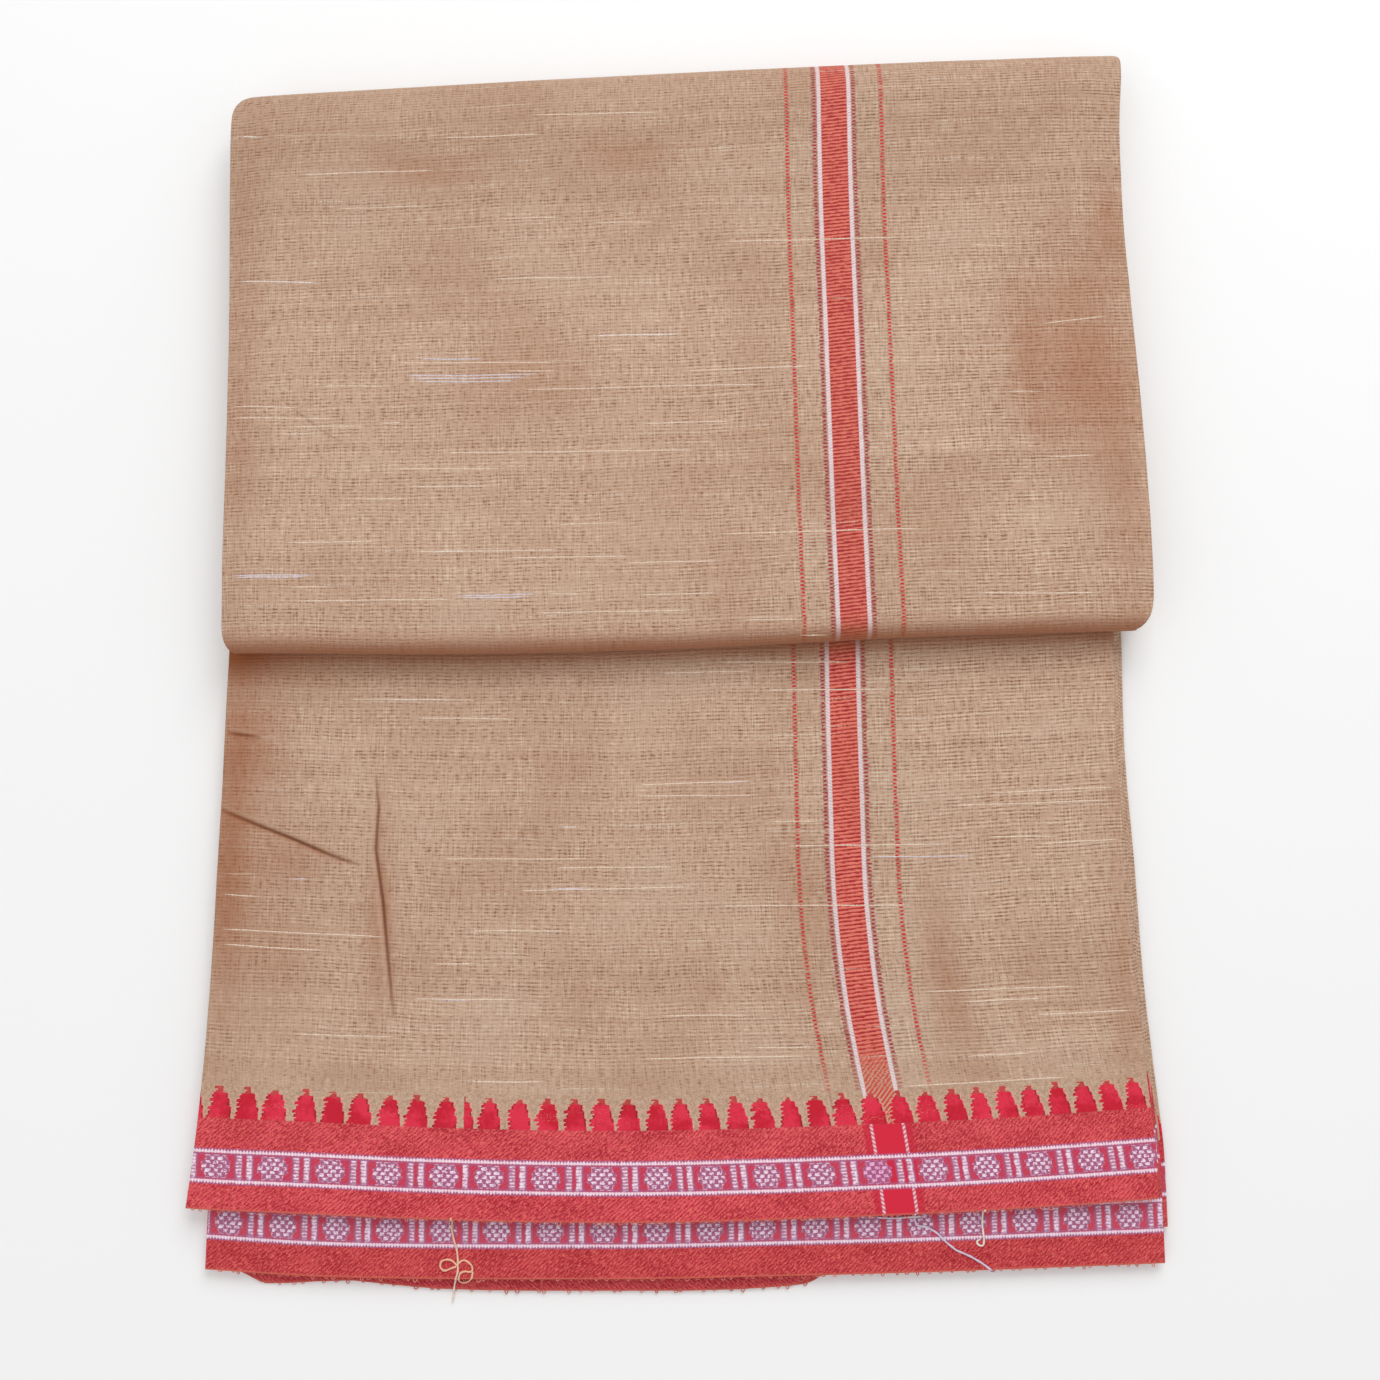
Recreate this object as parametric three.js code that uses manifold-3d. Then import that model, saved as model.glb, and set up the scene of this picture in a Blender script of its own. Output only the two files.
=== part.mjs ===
// A mundu, the South Indian wrap of handloom cotton, folded into a pack that lies flat.
//
// The cloth is 2 m long and 1.27 m wide. It is folded in six along its length, folded once across its
// width so that both selvedges meet, and then its top third is folded over the front. Two plies of cloth
// lie together at every side fold, and each such pair is one leaf here.
//
// Millimetres. +X runs along the woven border, +Y from the selvedges to the top of the pack, +Z is up.
// The origin is on the surface under the middle of the pack.
import * as THREE from "three";
import { mergeVertices } from "three/addons/utils/BufferGeometryUtils.js";
import Module from "manifold-3d";

// ---- Driving dimensions ------------------------------------------------------------------------------
const LEAF = 1.05; // one leaf: two plies of cotton pressed together
const AIR = 0.45; // between two leaves, and at the line where a border meets its panel
const LEAVES = 6; // leaves in the lower stack
const BORDER = 31.5; // woven red border, from the selvedge to the foot of its spikes
const SPIKES = 10.3; // height of the row of woven spikes above the border

const FLAP_LOFT = 13; // height of the folded-over part, which isn't pressed down
const FLAP_LEAVES = 4; // leaves inside it
const ROLL_DEPTH = 6; // the front fold, from its face to where its top is level
const BEND_DEPTH = 21; // the top bend, from its back to where its top is level
const BEND_UNDER = 9; // and from its back to where it meets the surface
const BEND_WAIST = 9.5; // height of the rearmost line of the bend
const BEND_REST = 24; // from the back of the bend to the end of the stretch that lies on the surface
const CREASE = 30; // from the back of the bend to the inner crease under it

const EDGE_ROUND = 0.5; // how far in from a fold or selvedge a leaf has its full thickness
const EDGE_BODY = 0.4; // share of its thickness that a leaf still has at the very edge

// ---- Outlines ----------------------------------------------------------------------------------------
// Side folds of the lower panel, at places up the panel.
const LOWER_SIDES = [
  { y: -184, left: -177.0, right: 164.3 },
  { y: -164, left: -174.4, right: 164.2 },
  { y: -136, left: -172.6, right: 162.0 },
  { y: -106, left: -172.1, right: 159.9 },
  { y: -62, left: -171.6, right: 159.5 },
  { y: -18, left: -170.6, right: 158.0 },
  { y: 20, left: -170.4, right: 158.6 },
  { y: 220, left: -171.5, right: 160.0 },
];
// Side folds of the folded-over upper panel.
const UPPER_SIDES = [
  { y: 12, left: -169.8, right: 168.2 },
  { y: 47, left: -171.0, right: 167.9 },
  { y: 107, left: -171.9, right: 166.4 },
  { y: 147, left: -173.0, right: 164.6 },
  { y: 187, left: -174.4, right: 163.1 },
  { y: 219, left: -175.1, right: 164.0 },
  { y: 250, left: -175.4, right: 167.0 },
];
// Selvedges of the front, second and back leaves, from left to right.
const FRONT_SELVEDGE = [
  { x: -177, y: -183.8 },
  { x: -143, y: -185.1 },
  { x: -95, y: -187.2 },
  { x: -27, y: -188.5 },
  { x: 18, y: -187.8 },
  { x: 64, y: -186.2 },
  { x: 109, y: -184.1 },
  { x: 164, y: -180.4 },
];
const SECOND_SELVEDGE = [
  { x: -170, y: -205.0 },
  { x: -132, y: -207.3 },
  { x: -27, y: -208.3 },
  { x: 28, y: -207.3 },
  { x: 81, y: -206.0 },
  { x: 167, y: -202.9 },
];
const BACK_SELVEDGE = [
  { x: -168, y: -204.0 },
  { x: -155, y: -207.6 },
  { x: -150, y: -210.4 },
  { x: -121, y: -209.3 },
  { x: -95, y: -211.8 },
  { x: -27, y: -212.8 },
  { x: 32, y: -211.4 },
  { x: 43, y: -209.8 },
  { x: 50, y: -205.8 },
  { x: 165, y: -201.8 },
];
// Side folds of the second and back leaves at their borders. The back panel's own are set in and out
// from those of the lower panel.
const SECOND_SIDES = { left: -170.3, right: 167.2 };
const BACK_SIDES = { left: -168, right: 165.2, panelLeftIn: 2.6, panelRightOut: 1.4 };
// Face of the front fold and back of the top bend, from left to right.
const FRONT_FOLD = [
  { x: -168, y: 13.3 },
  { x: -100, y: 12.7 },
  { x: 0, y: 14.9 },
  { x: 77, y: 18.8 },
  { x: 167, y: 21.8 },
];
const TOP_BEND = [
  { x: -172, y: 232.4 },
  { x: -54, y: 239.6 },
  { x: 62, y: 245.9 },
  { x: 165, y: 250.2 },
];
// Corners of the upper panel, rounded by this much along its sides and across it.
const CORNERS = {
  frontLeft: { along: 10, across: 3.0 },
  frontRight: { along: 12.5, across: 5.5 },
  backLeft: { along: 12, across: 9.0 },
  backRight: { along: 5, across: 4.0 },
};
// Right and left edges of the leaves under the lower panel, lowest first, set out from its own side
// folds, and their selvedges, set in from the selvedge of the leaf that covers them.
const LOWER_LEAVES = [
  { level: 1, leftIn: 1.8, rightOut: 4.4, selvedgeIn: 12.0 },
  { level: 2, leftIn: 3.2, rightOut: 3.0, selvedgeIn: BORDER + SPIKES + AIR },
  { level: 3, leftIn: 2.0, rightOut: 2.0, selvedgeIn: 3.0 },
  { level: 4, leftIn: 1.2, rightOut: 0.9, selvedgeIn: 1.5 },
];
// Edges of the leaves inside the upper panel, set in from its side folds and from its front fold.
const UPPER_LEAVES = [
  { leftIn: 2.2, rightIn: 1.2, frontIn: 2.6 },
  { leftIn: 0.9, rightIn: 2.4, frontIn: 0.4 },
  { leftIn: 1.9, rightIn: 1.0, frontIn: 0.4 },
  { leftIn: 1.0, rightIn: 2.0, frontIn: 2.6 },
];
// Swells and hollows of the two panels, as oval mounds of a given half width, half length and rise.
const LOWER_FORMS = [
  { x: -120, y: -60, wide: 26, long: 70, rise: -0.5 },
  { x: 40, y: -60, wide: 70, long: 60, rise: 0.4 },
  { x: 100, y: 0, wide: 40, long: 26, rise: -0.4 },
];
const UPPER_FORMS = [
  { x: 145, y: 122, wide: 26, long: 36, rise: -1.4 },
  { x: 10, y: 110, wide: 110, long: 70, rise: 0.9 },
  { x: -110, y: 185, wide: 50, long: 30, rise: -0.6 },
  { x: -60, y: 40, wide: 80, long: 24, rise: 0.5 },
];

// ---- Lines and heights -------------------------------------------------------------------------------
const lerp = (a, b, t) => a + (b - a) * t;
const clamp = (t, low, high) => Math.min(high, Math.max(low, t));

// A smooth line through the rows of a table, which doesn't swing past any of them.
function line(rows, along, value) {
  const t = rows.map((row) => row[along]);
  const v = rows.map((row) => row[value]);
  const last = rows.length - 1;
  const rise = (i) => (v[i + 1] - v[i]) / (t[i + 1] - t[i]);
  const slope = (i) => {
    if (i === 0) return rise(0);
    if (i === last) return rise(last - 1);
    return rise(i - 1) * rise(i) > 0 ? (rise(i - 1) + rise(i)) / 2 : 0;
  };
  return (place) => {
    const at = clamp(place, t[0], t[last]);
    const i = clamp(t.findIndex((knot) => knot > at) - 1, 0, last - 1);
    const k = at >= t[last] ? last - 1 : i;
    const span = t[k + 1] - t[k];
    const s = (at - t[k]) / span;
    const rest = 1 - s;
    return (
      v[k] * rest * rest * (1 + 2 * s) +
      v[k + 1] * s * s * (3 - 2 * s) +
      slope(k) * span * s * rest * rest -
      slope(k + 1) * span * s * s * rest
    );
  };
}
const lowerLeft = line(LOWER_SIDES, "y", "left");
const lowerRight = line(LOWER_SIDES, "y", "right");
const upperLeft = line(UPPER_SIDES, "y", "left");
const upperRight = line(UPPER_SIDES, "y", "right");
const frontSelvedge = line(FRONT_SELVEDGE, "x", "y");
const secondSelvedge = line(SECOND_SELVEDGE, "x", "y");
const backSelvedge = line(BACK_SELVEDGE, "x", "y");
const frontFold = line(FRONT_FOLD, "x", "y");
const topBend = line(TOP_BEND, "x", "y");

// 1 at an edge, falling softly to 0 at a given distance from it.
function nearEdge(distance, reach) {
  const t = clamp(distance / reach, 0, 1);
  return (1 - t) * (1 - t);
}
function forms(rows, x, y) {
  return rows.reduce((sum, form) => {
    const far = ((x - form.x) / form.wide) ** 2 + ((y - form.y) / form.long) ** 2;
    return sum + form.rise * Math.exp(-far);
  }, 0);
}
// Height in the lower stack of a level, where 1 is one leaf and its air. The stack sinks at its edges.
const STACK = LEAVES * (LEAF + AIR) - AIR;
function lowerHeight(x, y, level) {
  const sink =
    0.13 * nearEdge(x - lowerLeft(y), 18) +
    0.06 * nearEdge(lowerRight(y) - x, 12) +
    0.06 * nearEdge(y - frontSelvedge(x), 22);
  return level * (1 - sink + forms(LOWER_FORMS, x, y) / STACK);
}
// Height in the folded-over part, from 0 at its underside to FLAP_LOFT on top.
function upperHeight(x, y, level) {
  const sink = 0.1 * nearEdge(x - upperLeft(y), 22) + 0.11 * nearEdge(upperRight(y) - x, 26);
  const lift = level * (1 - sink + forms(UPPER_FORMS, x, y) / FLAP_LOFT);
  return lowerHeight(x, y, STACK) + AIR + lift;
}
function cornerPull(distance, corner) {
  const t = 1 - clamp(distance / corner.along, 0, 1);
  return corner.across * (1 - Math.sqrt(1 - t * t));
}
// Left and right edge of the upper panel at a place, with its rounded corners.
function upperEdges(y) {
  const fromFront = { left: y - FRONT_FOLD[0].y, right: y - FRONT_FOLD.at(-1).y };
  const fromBack = { left: TOP_BEND[0].y - y, right: TOP_BEND.at(-1).y - y };
  const left = cornerPull(fromFront.left, CORNERS.frontLeft) + cornerPull(fromBack.left, CORNERS.backLeft);
  const right =
    cornerPull(fromFront.right, CORNERS.frontRight) + cornerPull(fromBack.right, CORNERS.backRight);
  return { left: upperLeft(y) + left, right: upperRight(y) - right };
}

// ---- Leaves ------------------------------------------------------------------------------------------
// Columns from the left edge of a leaf to its right edge, closer together towards both. The leaf thins to
// a rounded edge within EDGE_ROUND.
function columns(count) {
  const inner = Array.from({ length: count + 1 }, (_, i) => {
    const t = i / count;
    return { share: lerp(t, (1 - Math.cos(Math.PI * t)) / 2, 0.8), inset: 0, body: 1 };
  });
  inner[0].inset = EDGE_ROUND;
  inner[count].inset = -EDGE_ROUND;
  const edge = (share) => ({ share, inset: 0, body: EDGE_BODY });
  return [edge(0), ...inner, edge(1)];
}
// Rows from the front end of a leaf to its back end, with the same rounding at the ends that show.
function rows(count, { roundFront = false } = {}) {
  const inner = Array.from({ length: count + 1 }, (_, i) => ({ share: i / count, inset: 0, body: 1 }));
  if (!roundFront) return inner;
  inner[0].inset = EDGE_ROUND;
  return [{ share: 0, inset: 0, body: EDGE_BODY }, ...inner];
}
// A closed sheet: point(row, column, side) gives its inner face for side 0 and its outer one for side 1.
// Seen from outside, the rows run up and the columns run right.
function closedSheet(rowList, columnList, point) {
  const R = rowList.length;
  const C = columnList.length;
  const positions = [];
  for (const side of [0, 1])
    for (const row of rowList) for (const column of columnList) positions.push(...point(row, column, side));
  const at = (side, i, j) => side * R * C + i * C + j;
  const index = [];
  const quad = (a, b, c, d) => index.push(a, b, c, a, c, d);
  for (let i = 0; i < R - 1; i += 1)
    for (let j = 0; j < C - 1; j += 1) {
      quad(at(1, i, j), at(1, i, j + 1), at(1, i + 1, j + 1), at(1, i + 1, j));
      quad(at(0, i, j), at(0, i + 1, j), at(0, i + 1, j + 1), at(0, i, j + 1));
    }
  for (let i = 0; i < R - 1; i += 1) {
    quad(at(1, i, 0), at(1, i + 1, 0), at(0, i + 1, 0), at(0, i, 0));
    quad(at(1, i, C - 1), at(0, i, C - 1), at(0, i + 1, C - 1), at(1, i + 1, C - 1));
  }
  for (let j = 0; j < C - 1; j += 1) {
    quad(at(1, 0, j), at(0, 0, j), at(0, 0, j + 1), at(1, 0, j + 1));
    quad(at(1, R - 1, j), at(1, R - 1, j + 1), at(0, R - 1, j + 1), at(0, R - 1, j));
  }
  const geometry = new THREE.BufferGeometry();
  geometry.setAttribute("position", new THREE.Float32BufferAttribute(positions, 3));
  geometry.setIndex(index);
  return geometry;
}
// A leaf that lies level: its four edges, and its lower and upper face as levels of a height function.
function lyingLeaf({ left, right, front, back, low, high, height, rowList, columnList }) {
  return closedSheet(rowList, columnList, (row, column, side) => {
    const guess = lerp(front(0), back(0), row.share);
    const x = lerp(left(guess), right(guess), column.share) + column.inset;
    const y = lerp(front(x), back(x), row.share) + row.inset;
    const middle = (low + high) / 2;
    const body = Math.min(row.body, column.body);
    const level = middle + (side - 0.5) * (high - low) * body;
    const exactX = lerp(left(y), right(y), column.share) + column.inset;
    return [exactX, y, height(exactX, y, level)];
  });
}
const lowLevel = (leaf) => leaf * (LEAF + AIR);
const highLevel = (leaf) => lowLevel(leaf) + LEAF;

// ---- The stretches of cloth that show ----------------------------------------------------------------
function piece(name, geometry, color, roughness) {
  const material = new THREE.MeshStandardMaterial({ color, roughness, metalness: 0 });
  geometry.computeVertexNormals();
  const mesh = new THREE.Mesh(geometry, material);
  mesh.name = name;
  return mesh;
}
const BEIGE = 0xc09d7f;
const RED = 0xc83c3c;
const DARK_RED = 0xa33038;

const front = LEAVES - 1;
const second = 2;
const lowerPanel = lyingLeaf({
  left: lowerLeft,
  right: lowerRight,
  front: (x) => frontSelvedge(x) + BORDER + AIR,
  back: (x) => topBend(x) - CREASE,
  low: lowLevel(front),
  high: highLevel(front),
  height: lowerHeight,
  rowList: rows(20),
  columnList: columns(16),
});
const lowerBorder = lyingLeaf({
  left: lowerLeft,
  right: lowerRight,
  front: frontSelvedge,
  back: (x) => frontSelvedge(x) + BORDER,
  low: lowLevel(front),
  high: highLevel(front),
  height: lowerHeight,
  rowList: rows(3, { roundFront: true }),
  columnList: columns(16),
});
// The second leaf shows below the front one, by its border alone.
const secondBorder = lyingLeaf({
  left: () => SECOND_SIDES.left,
  right: () => SECOND_SIDES.right,
  front: secondSelvedge,
  back: (x) => secondSelvedge(x) + BORDER + SPIKES,
  low: lowLevel(second),
  high: highLevel(second),
  height: lowerHeight,
  rowList: rows(4, { roundFront: true }),
  columnList: columns(12),
});
// The back leaf lies on the surface.
const backLeft = (y) => lowerLeft(y) + BACK_SIDES.panelLeftIn;
const backRight = (y) => lowerRight(y) + BACK_SIDES.panelRightOut;
const backBorder = lyingLeaf({
  left: () => BACK_SIDES.left,
  right: () => BACK_SIDES.right,
  front: backSelvedge,
  back: (x) => secondSelvedge(x) + BORDER,
  low: 0,
  high: LEAF,
  height: (x, y, level) => level,
  rowList: rows(3),
  columnList: columns(28),
});
const backPanel = lyingLeaf({
  left: backLeft,
  right: backRight,
  front: (x) => secondSelvedge(x) + BORDER + AIR,
  back: (x) => topBend(x) - BEND_REST - AIR,
  low: 0,
  high: LEAF,
  height: (x, y, level) => level,
  rowList: rows(8),
  columnList: columns(8),
});

// The outer stretch runs from the inner crease along the underside of the folded-over part, round its
// front fold, back along its top, round the top bend and a little way in along the surface. These are
// its stations, in order: each gives the place and height of the outer face at a place across.
const arc = (from, to, count, make) =>
  Array.from({ length: count }, (_, i) => make(THREE.MathUtils.degToRad(lerp(from, to, (i + 1) / (count + 1)))));
const between = (from, to, count, make) =>
  Array.from({ length: count + 1 }, (_, i) => make(lerp(from, to, i / count)));

const UNDERSIDE_STATIONS = 7;
const upperStations = [
  ...between(1, 0, UNDERSIDE_STATIONS, (t) => (x) => {
    const y = lerp(frontFold(x) + ROLL_DEPTH, topBend(x) - CREASE, t);
    return { y, z: upperHeight(x, y, 0) };
  }),
  ...arc(-90, 90, 11, (angle) => (x) => {
    const y = frontFold(x) + ROLL_DEPTH;
    const under = upperHeight(x, y, 0);
    const half = (upperHeight(x, y, FLAP_LOFT) - under) / 2;
    return { y: y - ROLL_DEPTH * Math.cos(angle), z: under + half + half * Math.sin(angle) };
  }),
  ...between(0, 1, 14, (t) => (x) => {
    const y = lerp(frontFold(x) + ROLL_DEPTH, topBend(x) - BEND_DEPTH, t);
    return { y, z: upperHeight(x, y, FLAP_LOFT) };
  }),
  ...arc(90, 0, 7, (angle) => (x) => {
    const y = topBend(x) - BEND_DEPTH;
    const rise = upperHeight(x, y, FLAP_LOFT) - BEND_WAIST;
    return { y: y + BEND_DEPTH * Math.cos(angle), z: BEND_WAIST + rise * Math.sin(angle) };
  }),
  (x) => ({ y: topBend(x), z: BEND_WAIST }),
  ...arc(0, -90, 5, (angle) => (x) => ({
    y: topBend(x) - BEND_UNDER * (1 - Math.cos(angle)),
    z: BEND_WAIST * (1 + Math.sin(angle)),
  })),
  ...between(0, 1, 2, (t) => (x) => ({ y: topBend(x) - lerp(BEND_UNDER, BEND_REST, t), z: 0 })),
];
// The outer face at a station and column, and the same point moved in square to the stretch.
function upperPoint(station, x, depth) {
  const here = upperStations[station](x);
  const before = upperStations[Math.max(station - 1, 0)](x);
  const after = upperStations[Math.min(station + 1, upperStations.length - 1)](x);
  const run = { y: after.y - before.y, z: after.z - before.z };
  const size = Math.hypot(run.y, run.z);
  return { y: here.y + (depth * run.z) / size, z: here.z - (depth * run.y) / size };
}
const upperRows = upperStations.map((_, station) => ({ station }));
const upperPanel = closedSheet(upperRows, columns(16), (row, column, side) => {
  const near = upperPoint(row.station, 0, 0);
  const edges = upperEdges(near.y);
  const flatX = lerp(edges.left, edges.right, column.share) + column.inset;
  const exact = upperEdges(upperPoint(row.station, flatX, 0).y);
  const x = lerp(exact.left, exact.right, column.share) + column.inset;
  const rim = (1 - column.body) / 2;
  const depth = LEAF * (side === 1 ? rim : 1 - rim);
  const point = upperPoint(row.station, x, depth);
  return [x, point.y, point.z];
});

// ---- The hidden layers, one solid with leaves at its edges -------------------------------------------
const wasm = await Module();
wasm.setup();
function solid(geometry) {
  geometry.deleteAttribute("normal");
  const merged = mergeVertices(geometry, 1e-4);
  const mesh = new wasm.Mesh({
    numProp: 3,
    vertProperties: new Float32Array(merged.attributes.position.array),
    triVerts: new Uint32Array(merged.index.array),
  });
  return new wasm.Manifold(mesh);
}
function geometryOf(manifold) {
  const mesh = manifold.getMesh();
  const geometry = new THREE.BufferGeometry();
  geometry.setAttribute("position", new THREE.Float32BufferAttribute(mesh.vertProperties, 3));
  geometry.setIndex(Array.from(mesh.triVerts));
  return geometry;
}
const leafBack = (x) => topBend(x) - BEND_REST;

const lowerLeaves = LOWER_LEAVES.map((leaf) => {
  const cover = leaf.level <= second ? secondSelvedge : frontSelvedge;
  return lyingLeaf({
    left: (y) => lowerLeft(y) + leaf.leftIn,
    right: (y) => lowerRight(y) + leaf.rightOut,
    front: (x) => cover(x) + leaf.selvedgeIn,
    back: leafBack,
    low: lowLevel(leaf.level),
    high: highLevel(leaf.level),
    height: lowerHeight,
    rowList: rows(9, { roundFront: true }),
    columnList: columns(8),
  });
});
const LEAF_GRIP = 6; // how deep the air between the leaves reaches in from their edges
const lowerCore = lyingLeaf({
  left: (y) => lowerLeft(y) + LEAF_GRIP,
  right: (y) => lowerRight(y) - LEAF_GRIP,
  front: (x) => secondSelvedge(x) + BORDER + SPIKES + LEAF_GRIP,
  back: leafBack,
  low: lowLevel(1) + LEAF / 2,
  high: highLevel(front - 1) - LEAF / 2,
  height: lowerHeight,
  rowList: rows(6),
  columnList: columns(5),
});

// Inside the folded-over part the leaves share the height between its underside and its top, and lie
// loosely, with twice the air of the lower stack.
const LOOSE = 2 * AIR;
const upperRoom = FLAP_LOFT - 2 * LEAF - (FLAP_LEAVES + 1) * LOOSE;
const upperLeafHeight = upperRoom / FLAP_LEAVES;
const upperLeaves = UPPER_LEAVES.map((leaf, i) => {
  const low = LEAF + LOOSE + i * (upperLeafHeight + LOOSE);
  const topmost = i === FLAP_LEAVES - 1; // follows the hollows of the panel just above it
  return lyingLeaf({
    left: (y) => upperEdges(y).left + leaf.leftIn,
    right: (y) => upperEdges(y).right - leaf.rightIn,
    front: (x) => frontFold(x) + LEAF + LOOSE + leaf.frontIn,
    back: leafBack,
    low,
    high: low + upperLeafHeight,
    height: upperHeight,
    rowList: rows(topmost ? 14 : 9, { roundFront: true }),
    columnList: columns(topmost ? 16 : 8),
  });
});
const upperCore = lyingLeaf({
  left: (y) => upperEdges(y).left + LEAF_GRIP,
  right: (y) => upperEdges(y).right - LEAF_GRIP,
  front: (x) => frontFold(x) + 2 * LEAF_GRIP,
  back: leafBack,
  low: LEAF + LOOSE + upperLeafHeight / 2,
  high: FLAP_LOFT - LEAF - LOOSE - upperLeafHeight / 2,
  height: upperHeight,
  rowList: rows(9),
  columnList: columns(12),
});

// The leaves turn together round the inside of the top bend.
const BEND_CORE_BACK = CREASE - 3; // the core starts behind the inner crease
const BEND_CORE_IN = 2; // and its ends are set in from the side folds
const BEND_AIR = 1.5 * AIR; // between the core and the outer stretch round it
const bendRows = upperStations
  .map((station, index) => ({ station: index, y: station(0).y }))
  .filter(({ y }, index) => index > UNDERSIDE_STATIONS && y > topBend(0) - BEND_REST - AIR);
const bendCore = closedSheet(bendRows, columns(8), (row, column, side) => {
  const across = (y) => {
    const edges = upperEdges(y);
    return lerp(edges.left + BEND_CORE_IN, edges.right - BEND_CORE_IN, column.share) + column.inset;
  };
  const x = across(upperPoint(row.station, across(row.y), 0).y);
  const outer = upperPoint(row.station, x, LEAF + BEND_AIR + (1 - column.body));
  if (side === 1) return [x, outer.y, outer.z];
  const t = (row.station - bendRows[0].station) / (bendRows.length - 1);
  const y = topBend(x) - BEND_CORE_BACK;
  const top = upperHeight(x, y, FLAP_LOFT - LEAF - BEND_AIR);
  return [x, y, lerp(top, LEAF + BEND_AIR, t)];
});
const hiddenLayers = [...lowerLeaves, lowerCore, ...upperLeaves, upperCore, bendCore]
  .map(solid)
  .reduce((whole, next) => whole.add(next));

// ---- The pack ----------------------------------------------------------------------------------------
const mundu = new THREE.Group();
mundu.add(
  piece("upper_panel", upperPanel, BEIGE, 0.9),
  piece("lower_panel", lowerPanel, BEIGE, 0.9),
  piece("lower_border", lowerBorder, RED, 0.85),
  piece("second_border", secondBorder, RED, 0.85),
  piece("back_border", backBorder, DARK_RED, 0.85),
  piece("back_panel", backPanel, BEIGE, 0.9),
  piece("hidden_layers", geometryOf(hiddenLayers), BEIGE, 0.9),
);
// The outlines above are set out from a line up the middle of the panels, so the pack is moved to stand
// with the middle of its box over the origin.
const box = new THREE.Box3().setFromObject(mundu);
const middle = box.getCenter(new THREE.Vector3());
mundu.position.set(-middle.x, -middle.y, -box.min.z);

export default mundu;
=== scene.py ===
import math

import bpy
import numpy as np
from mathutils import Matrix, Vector


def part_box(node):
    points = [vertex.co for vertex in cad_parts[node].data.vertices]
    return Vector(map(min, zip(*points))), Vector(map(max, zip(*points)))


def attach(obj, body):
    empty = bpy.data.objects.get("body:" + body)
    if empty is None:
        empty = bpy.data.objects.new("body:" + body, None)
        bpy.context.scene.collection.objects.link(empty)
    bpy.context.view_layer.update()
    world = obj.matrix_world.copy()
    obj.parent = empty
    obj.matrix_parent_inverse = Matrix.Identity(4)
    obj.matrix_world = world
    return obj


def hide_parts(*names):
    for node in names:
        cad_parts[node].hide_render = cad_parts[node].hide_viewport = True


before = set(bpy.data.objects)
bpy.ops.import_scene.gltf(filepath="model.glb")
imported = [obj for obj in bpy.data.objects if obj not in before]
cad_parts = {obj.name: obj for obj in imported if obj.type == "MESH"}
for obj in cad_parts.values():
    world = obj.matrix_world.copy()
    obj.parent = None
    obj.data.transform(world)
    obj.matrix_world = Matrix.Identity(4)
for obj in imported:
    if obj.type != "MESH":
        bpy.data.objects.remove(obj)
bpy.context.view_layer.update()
bpy.ops.object.select_all(action="DESELECT")

# A mundu, the South Indian wrap of handloom cotton, folded into a pack that lies flat. Two plies of cloth
# lie together at each side fold and make one leaf. The outlines below are in millimetres: x runs along
# the woven border, y from the selvedges to the top of the pack, and z is the height over the surface.
MM = 0.001

# ---- The view ----------------------------------------------------------------------------------------
# A camera looks down on the pack, tipped a little towards its far end.
VIEW_PIXELS = 1380
VIEW_FOCUS = 1500  # in pixels
VIEW_ELEVATION = math.radians(81.5)
VIEW_DISTANCE = 550
VIEW_TARGET_HEIGHT = 12

# The outlines are set out from a line up the middle of the panels, and the frame from the middle of the
# whole pack's box.
LEFT_OF_BORDER = -177.0
FOOT_OF_BACK = -212.8
shift = Vector((
    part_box("lower_border")[0].x - LEFT_OF_BORDER * MM,
    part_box("back_border")[0].y - FOOT_OF_BACK * MM,
    0,
))
view_back = Vector((0, -math.cos(VIEW_ELEVATION), math.sin(VIEW_ELEVATION)))
view_up = Vector((0, math.sin(VIEW_ELEVATION), math.cos(VIEW_ELEVATION)))
view_place = Vector((0, 0, VIEW_TARGET_HEIGHT)) + view_back * VIEW_DISTANCE
camera_data = bpy.data.cameras.new("view")
camera_data.sensor_width = 36
camera_data.lens = camera_data.sensor_width * VIEW_FOCUS / VIEW_PIXELS
camera_data.clip_start = 0.01
camera = bpy.data.objects.new("view", camera_data)
camera.location = view_place * MM + shift
camera.rotation_euler = (math.pi / 2 - VIEW_ELEVATION, 0, 0)
bpy.context.scene.collection.objects.link(camera)
bpy.context.scene.camera = camera

# ---- The outer stretch -------------------------------------------------------------------------------
# One leaf of cotton shows as the folded-over third: from a crease under it, round its front fold, back
# over the top, round the top bend, and along the surface to the back selvedge. Nowhere is it cut.
LEAF = 1.05  # two plies pressed together
PLY = 0.45
AIR = 0.45  # between two leaves
LEAVES = 6
STACK = LEAVES * (LEAF + AIR) - AIR
FLAP_LOFT = 13  # height of the folded-over third on the stack
UNDERSIDE = 9  # about the height of its underside
ROLL_DEPTH = 6  # the front fold, from its face to where its top is level
BEND_DEPTH = 21  # the top bend, from its back to where its top is level
BEND_UNDER = 9  # how far the bend comes back in, down to the surface
BEND_WAIST = 9.5  # height at which the bend stands out furthest
CREASE = 30  # from the top bend to the crease under the folded-over third
EDGE_ROUND = 0.5  # rounding of the side folds
FOLD_TURN = (-60, -30, 0, 30, 60)  # the columns round a side fold, in degrees
BORDER = 31.5  # woven border, from the selvedge to the foot of its spikes
SPIKES = 11.4  # height of the row of woven spikes above it
MOUTH = 6  # how far the inside of a selvedge can be looked into
MOUTH_ROWS = 6
MOUTH_NARROWS = 0.0035  # share by which the inside of a mouth is narrower
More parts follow.
